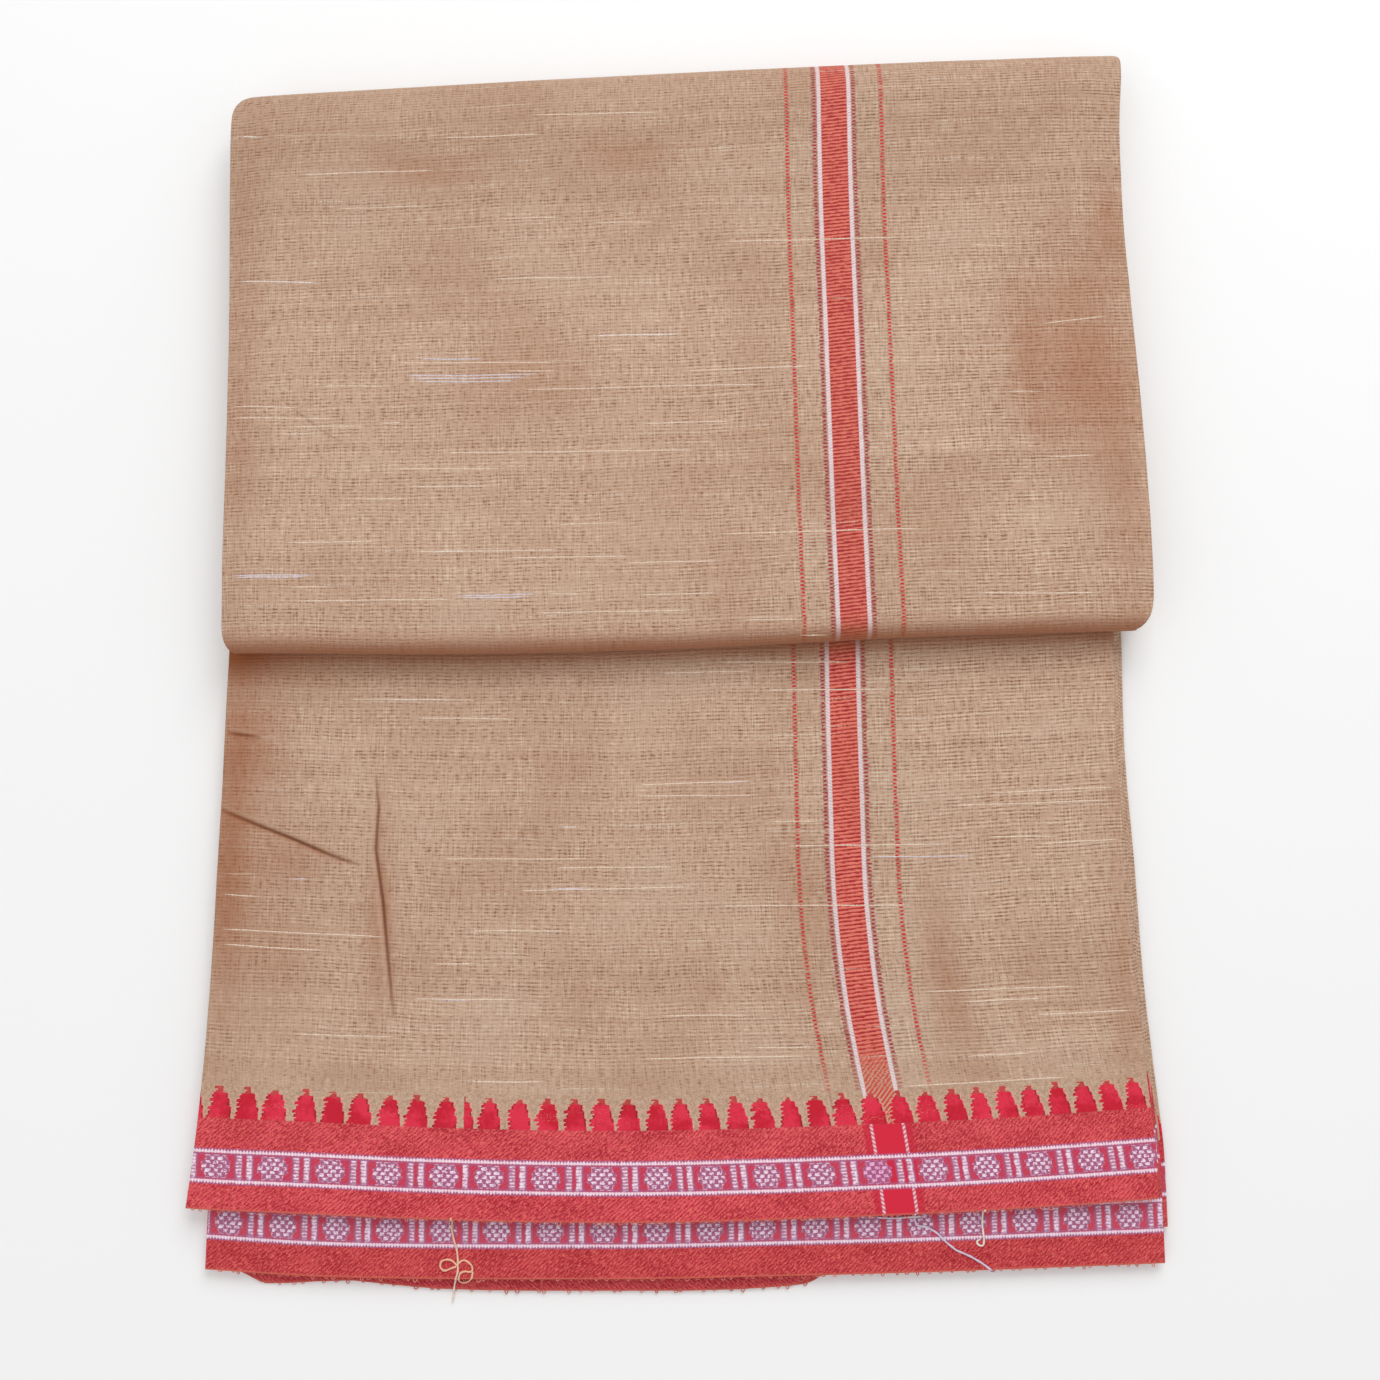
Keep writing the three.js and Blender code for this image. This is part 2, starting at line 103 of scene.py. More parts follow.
FLOOR_ROWS = 59  # rows along the surface
NO_CREASE = 9.0  # distance at which no crease shows

LOWER_SIDES = (  # place up the panel, left fold, right fold
    (-184, -177.8, 164.9),
    (-164, -175.6, 164.7),
    (-136, -173.6, 162.5),
    (-106, -172.5, 160.2),
    (-62, -171.8, 158.7),
    (-18, -171.4, 156.8),
    (20, -171.2, 157.5),
    (220, -171.5, 160.0),
)
UPPER_SIDES = (
    (12, -170.3, 168.6),
    (47, -171.4, 169.5),
    (107, -172.3, 168.1),
    (147, -173.4, 166.0),
    (187, -175.1, 164.2),
    (219, -176.1, 164.6),
    (250, -176.4, 167.4),
)
FRONT_SELVEDGE = (  # place across, place up the panel
    (-177, -183.8),
    (-143, -185.1),
    (-95, -187.2),
    (-27, -188.5),
    (18, -187.8),
    (64, -186.2),
    (109, -184.1),
    (164, -180.4),
)
SECOND_SELVEDGE = (
    (-170, -205.0),
    (-132, -207.3),
    (-27, -208.3),
    (28, -207.3),
    (81, -206.0),
    (167, -202.9),
)
BACK_SELVEDGE = (
    (-168, -204.0),
    (-155, -207.6),
    (-150, -210.4),
    (-121, -209.3),
    (-95, -211.8),
    (-27, -212.8),
    (32, -211.4),
    (43, -209.8),
    (50, -205.8),
    (165, -201.8),
)
FRONT_FOLD = ((-168, 13.3), (-100, 12.7), (0, 14.9), (77, 18.8), (167, 21.8))
TOP_BEND = ((-172, 234.0), (-54, 241.2), (62, 247.3), (165, 251.5))
BACK_PANEL_IN = (2.6, -1.4)  # its side folds, set in from those of the lower panel
BACK_HEM_SIDES = (-168, 165.2)
CORNERS = (  # corner, length along the side, depth across
    ("front left", 10, 3.0),
    ("front right", 12.5, 5.5),
    ("back left", 12, 9.0),
    ("back right", 5, 4.0),
)
LOWER_FORMS = (  # oval swells and hollows: x, y, half width, half length, rise
    (-120, -60, 26, 70, -0.5),
    (40, -60, 70, 60, 0.4),
    (100, 0, 40, 26, -0.4),
)
UPPER_FORMS = (
    (145, 122, 26, 36, -1.4),
    (10, 110, 110, 70, 0.9),
    (-110, 185, 50, 30, -0.6),
    (-60, 40, 80, 24, 0.5),
)


def smooth_line(places, values):
    """A smooth line through a table's rows, which doesn't swing past any of them."""
    t = np.array(places, float)
    v = np.array(values, float)
    rise = np.diff(v) / np.diff(t)
    inner = np.where(rise[:-1] * rise[1:] > 0, (rise[:-1] + rise[1:]) / 2, 0)
    slope = np.concatenate(([rise[0]], inner, [rise[-1]]))

    def at(place):
        place = np.clip(place, t[0], t[-1])
        k = np.clip(np.searchsorted(t, place, side="right") - 1, 0, len(t) - 2)
        span = t[k + 1] - t[k]
        s = (place - t[k]) / span
        rest = 1 - s
        level = v[k] * rest**2 * (1 + 2 * s) + v[k + 1] * s**2 * (3 - 2 * s)
        return level + slope[k] * span * s * rest**2 - slope[k + 1] * span * s**2 * rest

    return at


def table_line(rows, column=1):
    return smooth_line([row[0] for row in rows], [row[column] for row in rows])


lower_left = table_line(LOWER_SIDES)
lower_right = table_line(LOWER_SIDES, 2)
upper_left = table_line(UPPER_SIDES)
upper_right = table_line(UPPER_SIDES, 2)
front_selvedge = table_line(FRONT_SELVEDGE)
second_selvedge = table_line(SECOND_SELVEDGE)
back_selvedge = table_line(BACK_SELVEDGE)
front_fold = table_line(FRONT_FOLD)
top_bend = table_line(TOP_BEND)


def blend(a, b, t):
    return a + (b - a) * t


def ease(value, low, high):
    t = np.clip((value - low) / (high - low), 0, 1)
    return t * t * (3 - 2 * t)


def near_edge(distance, reach):
    """1 at an edge, falling softly to 0 at a distance from it."""
    return (1 - np.clip(distance / reach, 0, 1)) ** 2


def swells(rows, x, y):
    return sum(rise * np.exp(-(((x - fx) / wide) ** 2) - ((y - fy) / long) ** 2)
               for fx, fy, wide, long, rise in rows)


def lower_height(x, y, level):
    """Height of a level in the stack of leaves, which sinks at its edges."""
    sink = (0.13 * near_edge(x - lower_left(y), 18) + 0.06 * near_edge(lower_right(y) - x, 12)
            + 0.06 * near_edge(y - front_selvedge(x), 22))
    return level * (1 - sink + swells(LOWER_FORMS, x, y) / STACK)


def upper_height(x, y, level):
    """Height of a level in the folded-over part, from 0 at its underside to FLAP_LOFT on top."""
    sink = 0.1 * near_edge(x - upper_left(y), 22) + 0.11 * near_edge(upper_right(y) - x, 26)
    lift = level * (1 - sink + swells(UPPER_FORMS, x, y) / FLAP_LOFT)
    return lower_height(x, y, STACK) + AIR + lift


def upper_edges(y):
    """Side folds of the folded-over part, with its rounded corners."""
    from_end = {
        "front left": y - FRONT_FOLD[0][1],
        "front right": y - FRONT_FOLD[-1][1],
        "back left": TOP_BEND[0][1] - y,
        "back right": TOP_BEND[-1][1] - y,
    }
    pull = {}
    for corner, along, across in CORNERS:
        t = 1 - np.clip(from_end[corner] / along, 0, 1)
        pull[corner] = across * (1 - np.sqrt(1 - t * t))
    left = upper_left(y) + pull["front left"] + pull["back left"]
    right = upper_right(y) - pull["front right"] - pull["back right"]
    return left, right


def lower_edges(y):
    return lower_left(y), lower_right(y)


# Pressed-in creases: points along each, its depth, its half width, and the ridge beside it, which
# stands on the left of the way that the points run, or on the right where it is negative.
UPPER_CREASES = (
    (((-152, 108), (-144, 101.5), (-136, 95.5), (-124, 88)), 0.16, 1.3, 0.12),
    (((-128, 214), (-108, 199), (-92, 196), (-70, 203)), 0.30, 5.5, 0.2),
    (((-42, 212), (-28, 205), (-8, 203)), 0.24, 5.0, 0.15),
    (((118, 158), (126, 138), (124, 112), (133, 88)), 0.42, 5.0, 0.25),
    (((20, 60), (60, 66), (104, 62)), 0.16, 6.0, 0.1),
)
LOWER_CREASES = (
    (((-172, -43.4), (-158, -49), (-145, -54), (-130, -60.3), (-119, -64)), 0.85, 1.0, 0.5),
    (((-115, -30), (-113.6, -43), (-114.2, -58), (-111, -77), (-108.6, -97), (-105.8, -119)),
     0.7, 1.0, -0.35),
    (((-170.5, -15.2), (-158, -17)), 0.45, 1.0, 0.2),
    (((84, -66), (90, -98), (101, -128), (108, -150)), 0.3, 4.5, 0.2),
    (((-60, -120), (-20, -104), (20, -110)), 0.14, 7.0, 0.1),
    (((60, 4), (58, -30), (64, -58)), 0.2, 5.0, 0.14),
)
RIPPLES = (  # height, waves a metre across and up, start
    (0.13, 13.0, 4.5, 0.4),
    (0.10, -6.5, 16.0, 1.9),
    (0.07, 24.0, 19.0, 3.1),
    (0.05, -37.0, 14.0, 5.2),
    (0.04, 17.0, -43.0, 0.9),
)


def from_line(points, ridge, x, y):
    """Distance from a bent line, signed so that it grows towards the ridge, and a strength from 0 at the
    line's ends to 1 halfway along."""
    nearest = np.full(np.shape(x), 1e9)
    side = np.zeros(np.shape(x))
    fade = np.zeros(np.shape(x))
    stops = np.array(points, float)
    run = np.hypot(*np.diff(stops, axis=0).T)
    passed = np.concatenate(([0], np.cumsum(run)))
    for i, length in enumerate(run):
        ax, ay = stops[i]
        dx, dy = (stops[i + 1] - stops[i]) / length
        t = np.clip((x - ax) * dx + (y - ay) * dy, 0, length)
        far = np.hypot(x - ax - t * dx, y - ay - t * dy)
        closer = far < nearest
        nearest = np.where(closer, far, nearest)
        side = np.where(closer, dx * (y - ay) - dy * (x - ax), side)
        share = (passed[i] + t) / passed[-1]
        fade = np.where(closer, np.sqrt(np.clip(4 * share * (1 - share), 0, 1)), fade)
    return np.where(side > 0, nearest, -nearest) * (1 if ridge > 0 else -1), fade


def crease(points, depth, width, ridge, x, y):
    """A trough along a bent line, with a ridge beside it, both dying away at its ends."""
    signed, strength = from_line(points, ridge, x, y)
    trough = -depth * np.exp(-((signed / width) ** 2))
    bank = abs(ridge) * np.exp(-(((signed - 2.1 * width) / (1.4 * width)) ** 2))
    return (trough + bank) * strength


def relief(creases, x, y):
    """The small unevenness of handled cloth, over the large forms."""
    waves = sum(height * np.sin(2 * math.pi * (across * x + up * y) * MM + start)
                for height, across, up, start in RIPPLES)
    return waves + sum(crease(*row, x, y) for row in creases)


UPPER_STRIPE = smooth_line((17, 32, 69, 127, 186, 241), (59.7, 59.2, 58.0, 56.6, 55.2, 54.9))


def ring(t, inner):
    """The columns once round a leaf: its outer ply from left to right, the right fold, its inner ply back
    to the left, and the left fold. Each has its share across, its inset, and its share of the depth."""
    outer = len(t) - 1
    turn = np.radians(FOLD_TURN)
    inner_start = outer + 1 + len(turn)
    back = np.arange(inner, -1, -1) / inner
    back = blend(back, (1 - np.cos(math.pi * back)) / 2, 0.8)  # closer columns towards the folds
    share = np.concatenate((t, np.ones(len(turn)), back, np.zeros(len(turn))))
    bulge = EDGE_ROUND * (np.cos(turn) - 1)
    inset = np.concatenate((np.zeros(outer + 1), bulge, np.zeros(inner + 1), -bulge))
    inset[[0, inner_start]] = EDGE_ROUND, -EDGE_ROUND
    inset[[outer, inner_start + inner]] = -EDGE_ROUND, EDGE_ROUND
    rise = (1 + np.sin(turn)) / 2
    depth = np.concatenate((np.zeros(outer + 1), rise, np.ones(inner + 1), 1 - rise))
    return share, inset, depth


def make_leaf(name, y, z, x, tuck, columns, pattern, drawn):
    """A leaf of two plies as one mesh. x, y and z hold its outer face by row and column, and tuck says
    where a row turns in at a mouth. pattern gives the cloth's own place, across and from the selvedge, and
    drawn has the values by row and column that the cotton reads by name."""
    _, _, depth = columns
    outer = int(np.sum(depth == 0)) - 1
    total = len(depth)
    rows = len(y)
    run_y = np.gradient(y, axis=0)
    run_z = np.gradient(z, axis=0)
    for run in (run_y, run_z):  # a mouth keeps the heading of the leaf that it ends
        run[:MOUTH_ROWS] = run[MOUTH_ROWS + 1]
        run[-MOUTH_ROWS:] = run[-MOUTH_ROWS - 2]
    size = np.hypot(run_y, run_z)
    squeeze = 1 - tuck[:, None] * PLY / (LEAF / 2)
    inward = LEAF / 2 + (depth[None, :] - 0.5) * LEAF * squeeze
    at_y = y + inward * run_z / size
    at_z = z - inward * run_y / size
    points = np.stack((x, at_y, at_z), axis=-1).reshape(-1, 3) * MM + np.array(shift)
    i, j = np.meshgrid(np.arange(rows - 1), np.arange(total), indexing="ij")
    k = (j + 1) % total
    faces = np.stack((i * total + j, i * total + k, (i + 1) * total + k, (i + 1) * total + j), -1)
    faces = faces.reshape(-1, 4)
    mesh = bpy.data.meshes.new(name)
    mesh.from_pydata(points.tolist(), [], faces.tolist())
    # The cloth's place carries on round the right fold, and starts again at the left one.
    half_fold = (len(FOLD_TURN) + 1) // 2
    right = x[:, outer + half_fold][:, None]
    left = x[:, -half_fold][:, None]
    onward = np.where(np.arange(total)[None, :] > outer, 2 * right - x, x)
    before = np.where(np.arange(total)[None, :] > outer, 2 * left - x, x)
    across_on, along = pattern(onward, y)
    across_before, _ = pattern(before, y)
    at_left = (j >= total - 2 * half_fold).reshape(-1)
    u = np.where(at_left[:, None], across_before.reshape(-1)[faces], across_on.reshape(-1)[faces])
    v = np.broadcast_to(along, x.shape).reshape(-1)[faces]
    cloth = mesh.uv_layers.new(name="cloth")
    cloth.data.foreach_set("uv", (np.stack((u, v), -1) * MM).reshape(-1))
    mesh.polygons.foreach_set("material_index", (v.min(axis=1) < BORDER + SPIKES).astype(int))
    for title, values in drawn.items():
        attribute = mesh.attributes.new(title, "FLOAT", "POINT")
        attribute.data.foreach_set("value", np.array(values, float).reshape(-1))
    mesh.validate()
    leaf = bpy.data.objects.new(name, mesh)
    bpy.context.scene.collection.objects.link(leaf)
    mesh.shade_smooth()
    return leaf


def path_length(y, z):
    """Distance along each column from the first row."""
    steps = np.hypot(np.diff(y, axis=0), np.diff(z, axis=0))
    return np.concatenate((np.zeros((1, y.shape[1])), np.cumsum(steps, axis=0)))


def mouth_rows(y, z, x, at_start):
    """Adds the rows in which both plies round off at a selvedge and turn in."""
    end, step = (0, 1) if at_start else (-1, -1)
    dy, dz = y[end + step] - y[end], z[end + step] - z[end]
    size = np.hypot(dy, dz)
    dy, dz = dy / size, dz / size
    ahead = [(MOUTH, 1.0), (0.25, 1.0), (0.03, 0.8), (0.0, 0.5), (0.08, 0.2), (0.3, 0.0)]
    more_y = np.array([y[end] + dy * reach for reach, _ in ahead])
    more_z = np.array([z[end] + dz * reach for reach, _ in ahead])
    more_x = np.array([x[end] for _ in ahead])
    more_tuck = np.array([tuck for _, tuck in ahead])
    if not at_start:
        return more_y[::-1], more_z[::-1], more_x[::-1], more_tuck[::-1]
    return more_y, more_z, more_x, more_tuck


def with_mouths(y, z, x):
    """Turns both ends of a leaf in, and gives its rows' tucks."""
    sy, sz, sx, st = mouth_rows(y, z, x, True)
    ey, ez, ex, et = mouth_rows(y, z, x, False)
    middle = x.mean(axis=1, keepdims=True)
    tuck = np.concatenate((st, np.zeros(len(y) - 2), et))
    x = np.concatenate((sx, x[1:-1], ex))
    middle = np.concatenate((middle[:1].repeat(len(st), 0), middle[1:-1], middle[-1:].repeat(len(et), 0)))
    x = middle + (x - middle) * (1 - MOUTH_NARROWS * (tuck[:, None] > 0.9))
    return np.concatenate((sy, y[1:-1], ey)), np.concatenate((sz, z[1:-1], ez)), x, tuck


def turn_height(low, high, angle):
    """Height on a half turn that rises from low to high as its angle goes from -90 to 90 degrees."""
    return (low + high) / 2 + (high - low) / 2 * math.sin(angle)


def outer_path(x):
    """The outer face of the outer stretch over the whole width, row by row."""
    fold = front_fold(x)
    bend = top_bend(x)
    hem = back_selvedge(x)
    half_turn = np.radians(np.linspace(-90, 90, 19)[1:-1])
    quarter = np.radians(np.linspace(90, 0, 17)[1:])
    under = np.radians(np.linspace(0, -90, 10)[1:])
    ys, zs = [], []
    for t in np.linspace(0, 1, 14):
        y = blend(bend - CREASE, fold + ROLL_DEPTH, t)
        ys.append(y)
        zs.append(upper_height(x, y, 0))
    y = fold + ROLL_DEPTH
    low = upper_height(x, y, 0)
    high = upper_height(x, y, FLAP_LOFT)
    rough = relief(UPPER_CREASES, x, y)
    for angle in half_turn:
        ys.append(y - ROLL_DEPTH * math.cos(angle))
        zs.append(turn_height(low, high, angle) + rough * (1 + math.sin(angle)) / 2)
    for t in np.linspace(0, 1, 132):
        y = blend(fold + ROLL_DEPTH, bend - BEND_DEPTH, t)
        ys.append(y)
        zs.append(upper_height(x, y, FLAP_LOFT) + relief(UPPER_CREASES, x, y))
    start = bend - BEND_DEPTH
    high = upper_height(x, start, FLAP_LOFT) + relief(UPPER_CREASES, x, start)
    for angle in quarter:
        ys.append(start + BEND_DEPTH * math.cos(angle))
        zs.append(BEND_WAIST + (high - BEND_WAIST) * math.sin(angle))
    for angle in under:
        ys.append(bend - BEND_UNDER * (1 - math.cos(angle)))
        zs.append(np.full_like(x, BEND_WAIST * (1 + math.sin(angle))))
    for t in np.linspace(0, 1, FLOOR_ROWS + 1)[1:]:
        ys.append(blend(bend - BEND_UNDER, hem, t))
        zs.append(np.zeros_like(x))
    return np.array(ys), np.array(zs)


def path_at(path, x):
    """Row i of a path at the places across in row i of x."""
    rough = np.linspace(-185, 185, 371)
    ys, zs = path(rough)
    y = np.array([np.interp(row, rough, line) for row, line in zip(x, ys)])
    return y, np.array([np.interp(row, rough, line) for row, line in zip(x, zs)])


def laid_out(path, edges, columns):
    """Places of a leaf's outer face by row and column, as y, z and x, and its mean width. A row's place
    and its side folds hang on each other, so they are worked out twice."""
    share, inset, _ = columns
    y, _ = path(np.array([0.0]))
    for _ in range(2):
        left, right = edges(y)
        x = blend(left, right, share) + inset
        y, z = path_at(path, x)
    return y, z, x, float((right - left).mean())


def mean_run(y, z):
    return float(path_length(y, z)[-1].mean())


def outer_edges(y):
    """Side folds of the outer stretch. The stretch on the surface has its own."""
    row = np.arange(len(y)) - (len(y) - FLOOR_ROWS)
    on_surface = ease(row, 1, 7)[:, None]
    left, right = upper_edges(y)
    panel_left = lower_left(y) + BACK_PANEL_IN[0]
    panel_right = lower_right(y) - BACK_PANEL_IN[1]
    hem = ease(-y, 140, 185)
    panel_left = blend(panel_left, BACK_HEM_SIDES[0], hem)
    panel_right = blend(panel_right, BACK_HEM_SIDES[1], hem)
    return blend(left, panel_left, on_surface), blend(right, panel_right, on_surface)


outer_columns = ring(np.linspace(0, 1, 226), 26)
y, z, x, outer_span = laid_out(outer_path, outer_edges, outer_columns)
y, z, x, tuck = with_mouths(y, z, x)
middle_run = path_length(y[:, 100:101], z[:, 100:101])  # along one column near the middle
from_hem = np.abs(middle_run[-1] - middle_run - MOUTH)

UPPER_SHADES = (  # places of painted shade, partly the cloth's own brown: x, y, half width, half length, strength
    (-70, 240, 130, 15, 0.16),
    (90, 248, 90, 13, 0.14),
    (-150, 215, 40, 26, 0.14),
    (150, 190, 30, 60, 0.08),
    (-102, 198, 22, 10, 0.24),
    (-26, 206, 22, 9, 0.18),
    (147, 124, 20, 32, 0.62),
    (150, 84, 18, 26, 0.22),
    (158, 180, 6, 17, 0.40),
    (-168, 120, 7, 90, 0.35),
    (160, 70, 9, 40, 0.35),
    (-10, 66, 26, 30, 0.18),
    (-60, 120, 30, 26, 0.12),
)
SHARP = 1.5  # a crease that is narrower than this also gets a painted shade line


def drawn_on(creases, shade, x, y):
    """What the cotton reads off a leaf: its painted shade, with more painted in its creases, the distance
    to its nearest sharp crease, and how hard that crease is pressed."""
    nearest = np.full(x.shape, NO_CREASE)
    pressed = np.zeros(x.shape)
    for points, depth, width, ridge in creases:
        signed, strength = from_line(points, ridge, x, y)
        # Painted shade in each crease, darker where the crease is deeper.
        shade = shade + 0.8 * depth * strength * np.exp(-((signed / width / 1.3) ** 2))
        closer = (np.abs(signed) < np.abs(nearest)) & (width < SHARP)
        nearest = np.where(closer, signed, nearest)
        pressed = np.where(closer, np.clip(1.6 * depth, 0, 1) * strength, pressed)
    return {"shade": shade, "from_crease": nearest, "pressed": pressed}


# Painted shade on the front fold's roll where it turns under, over a wider band at the left.
at_fold = near_edge(np.abs(y - front_fold(x)), 13 - 3 * ease(x, -120, 60)) * (z > UNDERSIDE)
outer_drawn = drawn_on(UPPER_CREASES, swells(UPPER_SHADES, x, y) + 1.1 * at_fold, x, y)
unmarked = {"shade": 0, "from_crease": NO_CREASE, "pressed": 0}  # as its underside is
for title, value in unmarked.items():
    outer_drawn[title] = np.where(z > UNDERSIDE, outer_drawn[title], value)
# Painted shadow of the second leaf on the hem that lies under it.
outer_drawn["shade"] += (z < UNDERSIDE) * ease(-y, 150, 200)  # its hem lies under the second leaf's


def outer_pattern(across, y):
    return across - UPPER_STRIPE(y), from_hem


outer_cloth = make_leaf("outer_cloth", y, z, x, tuck, outer_columns, outer_pattern, outer_drawn)

# The cotton itself. Its ribs, slubs, stripe and border are woven, and all are worked out from the cloth's
# own place: u from the middle of the stripe, and v from the selvedge.
RIB = 1.36
THREAD = 0.46
MOTIF = 19.9  # one checked lozenge and one pair of bars
LOZENGE_AT = -6.1  # from the middle of the stripe
SHORT_AT = -154.4  # here the weaver left a motif short
SHORT_BY = 4.5
CHECK_ROW = 1.4
CHECK_PITCH = 2.9
SPIKE_ROW = 1.45
SPIKES_MOVED = 1.9  # the spikes near the stripe stand a little to the right of the figures
SPIKE_HALF = 4.1  # half the width of a spike at its foot
SPIKE_STEPS = ((0.65, 4.0, 4.3), (0.6, 6.8, 7.1), (1.6, 8.7, 9.1))  # it narrows by, from, to
TOOTH = 1.12
TWILL = 1.75
BAND = (10.1, 20.0)  # the two white lines of the figured band
STRIPE_RIB = 1.4
STRIPE_HALF = 5.0  # half the width of the stripe's middle, and then its lines, from that middle
WHITE_LINE = 5.75
MAROON_LINE = 7.6
RED_LINE = 18.1
RIBS_FROM = (48.0, 56.0)  # the ribs of the ground and of the stripe begin past the spikes
STRIPE_RIBS_FROM = (47.0, 60.0)
OVER_BEND = (420.0, 440.0)  # from here on the cloth goes over the top bend and down
BEND_SHADE_AT = 480  # at the top bend, which a painted shade makes a little duller
STRIPE_WHITE = (240, 222, 230)


class Reading:
    """A value read off the cloth by the material, which adds, multiplies and divides as a number does."""

    tree = None

    def __init__(self, socket):
        self.socket = socket

    def __add__(self, other):
        return work_out("ADD", self, other)

    def __sub__(self, other):
        return work_out("SUBTRACT", self, other)

    def __rsub__(self, other):
        return work_out("SUBTRACT", other, self)

    def __mul__(self, other):
        return work_out("MULTIPLY", self, other)

    def __truediv__(self, other):
        return work_out("DIVIDE", self, other)

    __radd__ = __add__
    __rmul__ = __mul__


def plug(value, socket):
    if isinstance(value, Reading):
        Reading.tree.links.new(value.socket, socket)
    else:
        socket.default_value = value


def work_out(operation, *values):
    node = Reading.tree.nodes.new("ShaderNodeMath")
    node.operation = operation
    for value, socket in zip(values, node.inputs):
        plug(value, socket)
    return Reading(node.outputs[0])


def wave(turns):
    """From -1 to 1, once each turn."""
    return work_out("SINE", turns * (2 * math.pi))


def whole(value):
    return work_out("FLOOR", value)


def part(value):
    return work_out("FRACT", value)


def distance(value):
    return work_out("ABSOLUTE", value)


def either(a, b):
    return work_out("MAXIMUM", a, b)


def rising(value, low, high):
    """Goes softly from 0 at low to 1 at high."""
    node = Reading.tree.nodes.new("ShaderNodeMapRange")
    node.interpolation_type = "SMOOTHSTEP"
    for number, socket in zip((value, low, high, 0.0, 1.0), node.inputs):
        plug(number, socket)
    return Reading(node.outputs[0])


def within(value, half, soft):
    """1 where a value is nearer to 0 than half, and 0 past it, with a soft edge."""
    return 1 - rising(distance(value) - half, -soft, soft)


def place(x, y):
    node = Reading.tree.nodes.new("ShaderNodeCombineXYZ")
    plug(x, node.inputs["X"])
    plug(y, node.inputs["Y"])
    return Reading(node.outputs[0])


def cloudy(x, y, detail=1.0):
    """Soft noise, stretched so that most of it is from 0 to 1."""
    node = Reading.tree.nodes.new("ShaderNodeTexNoise")
    node.noise_dimensions = "2D"
    node.inputs["Scale"].default_value = 1
    node.inputs["Detail"].default_value = detail
    plug(place(x, y), node.inputs["Vector"])
    return (Reading(node.outputs[0]) - 0.5) * 1.9 + 0.5


def chance(x, y):
    """A number from 0 to 1 for each pair of whole numbers, and three more."""
    node = Reading.tree.nodes.new("ShaderNodeTexWhiteNoise")
    node.noise_dimensions = "2D"
    plug(place(x, y), node.inputs["Vector"])
    parts = Reading.tree.nodes.new("ShaderNodeSeparateColor")
    Reading.tree.links.new(node.outputs["Color"], parts.inputs[0])
    return Reading(node.outputs["Value"]), [Reading(out) for out in parts.outputs]


def paint(red, green, blue):
    """A colour from its screen values, as the shader takes it."""
    values = [c / 255 for c in (red, green, blue)]
    return (*[c / 12.92 if c < 0.04045 else ((c + 0.055) / 1.055) ** 2.4 for c in values], 1)


def mixed(under, over, amount):
    node = Reading.tree.nodes.new("ShaderNodeMix")
    node.data_type = "RGBA"
    plug(amount, node.inputs[0])
    plug(under, node.inputs[6])
    plug(over, node.inputs[7])
    return Reading(node.outputs[2])


def stripe_twill(u, v, uneven):
    """The stripe's middle near the border."""
    slant = wave((u - v) / TWILL + uneven)
    return mixed(paint(206, 80, 70), paint(208, 160, 134), rising(slant, -0.1, 0.7))


def laid_on(name):
    """A value that the mesh holds, point by point."""
    node = Reading.tree.nodes.new("ShaderNodeAttribute")
    node.attribute_name = name
    return Reading(node.outputs["Fac"])


def start_cotton(name):
    """A new material, with the cloth's own place across and from the selvedge."""
    material = bpy.data.materials.new(name)
    material.use_nodes = True
    tree = Reading.tree = material.node_tree
    cloth = tree.nodes.new("ShaderNodeUVMap")
    cloth.uv_map = "cloth"
    split = tree.nodes.new("ShaderNodeSeparateXYZ")
    tree.links.new(cloth.outputs[0], split.inputs[0])
    return material, Reading(split.outputs["X"]) / MM, Reading(split.outputs["Y"]) / MM


def finish_cotton(material, colour, height, roughness):
    """Soft, dry cotton with a faint sheen from its nap, and its threads raised."""
    tree = material.node_tree
    shader = tree.nodes["Principled BSDF"]
    bump = tree.nodes.new("ShaderNodeBump")
    bump.inputs["Strength"].default_value = 0.55
    bump.inputs["Distance"].default_value = 0.35 * MM
    plug(height, bump.inputs["Height"])
    tree.links.new(bump.outputs[0], shader.inputs["Normal"])
    plug(colour, shader.inputs["Base Color"])
    plug(roughness, shader.inputs["Roughness"])
    shader.inputs["Specular IOR Level"].default_value = 0.22
    shader.inputs["Sheen Weight"].default_value = 0.18
    shader.inputs["Sheen Roughness"].default_value = 0.45
    shader.inputs["Sheen Tint"].default_value = paint(255, 236, 214)


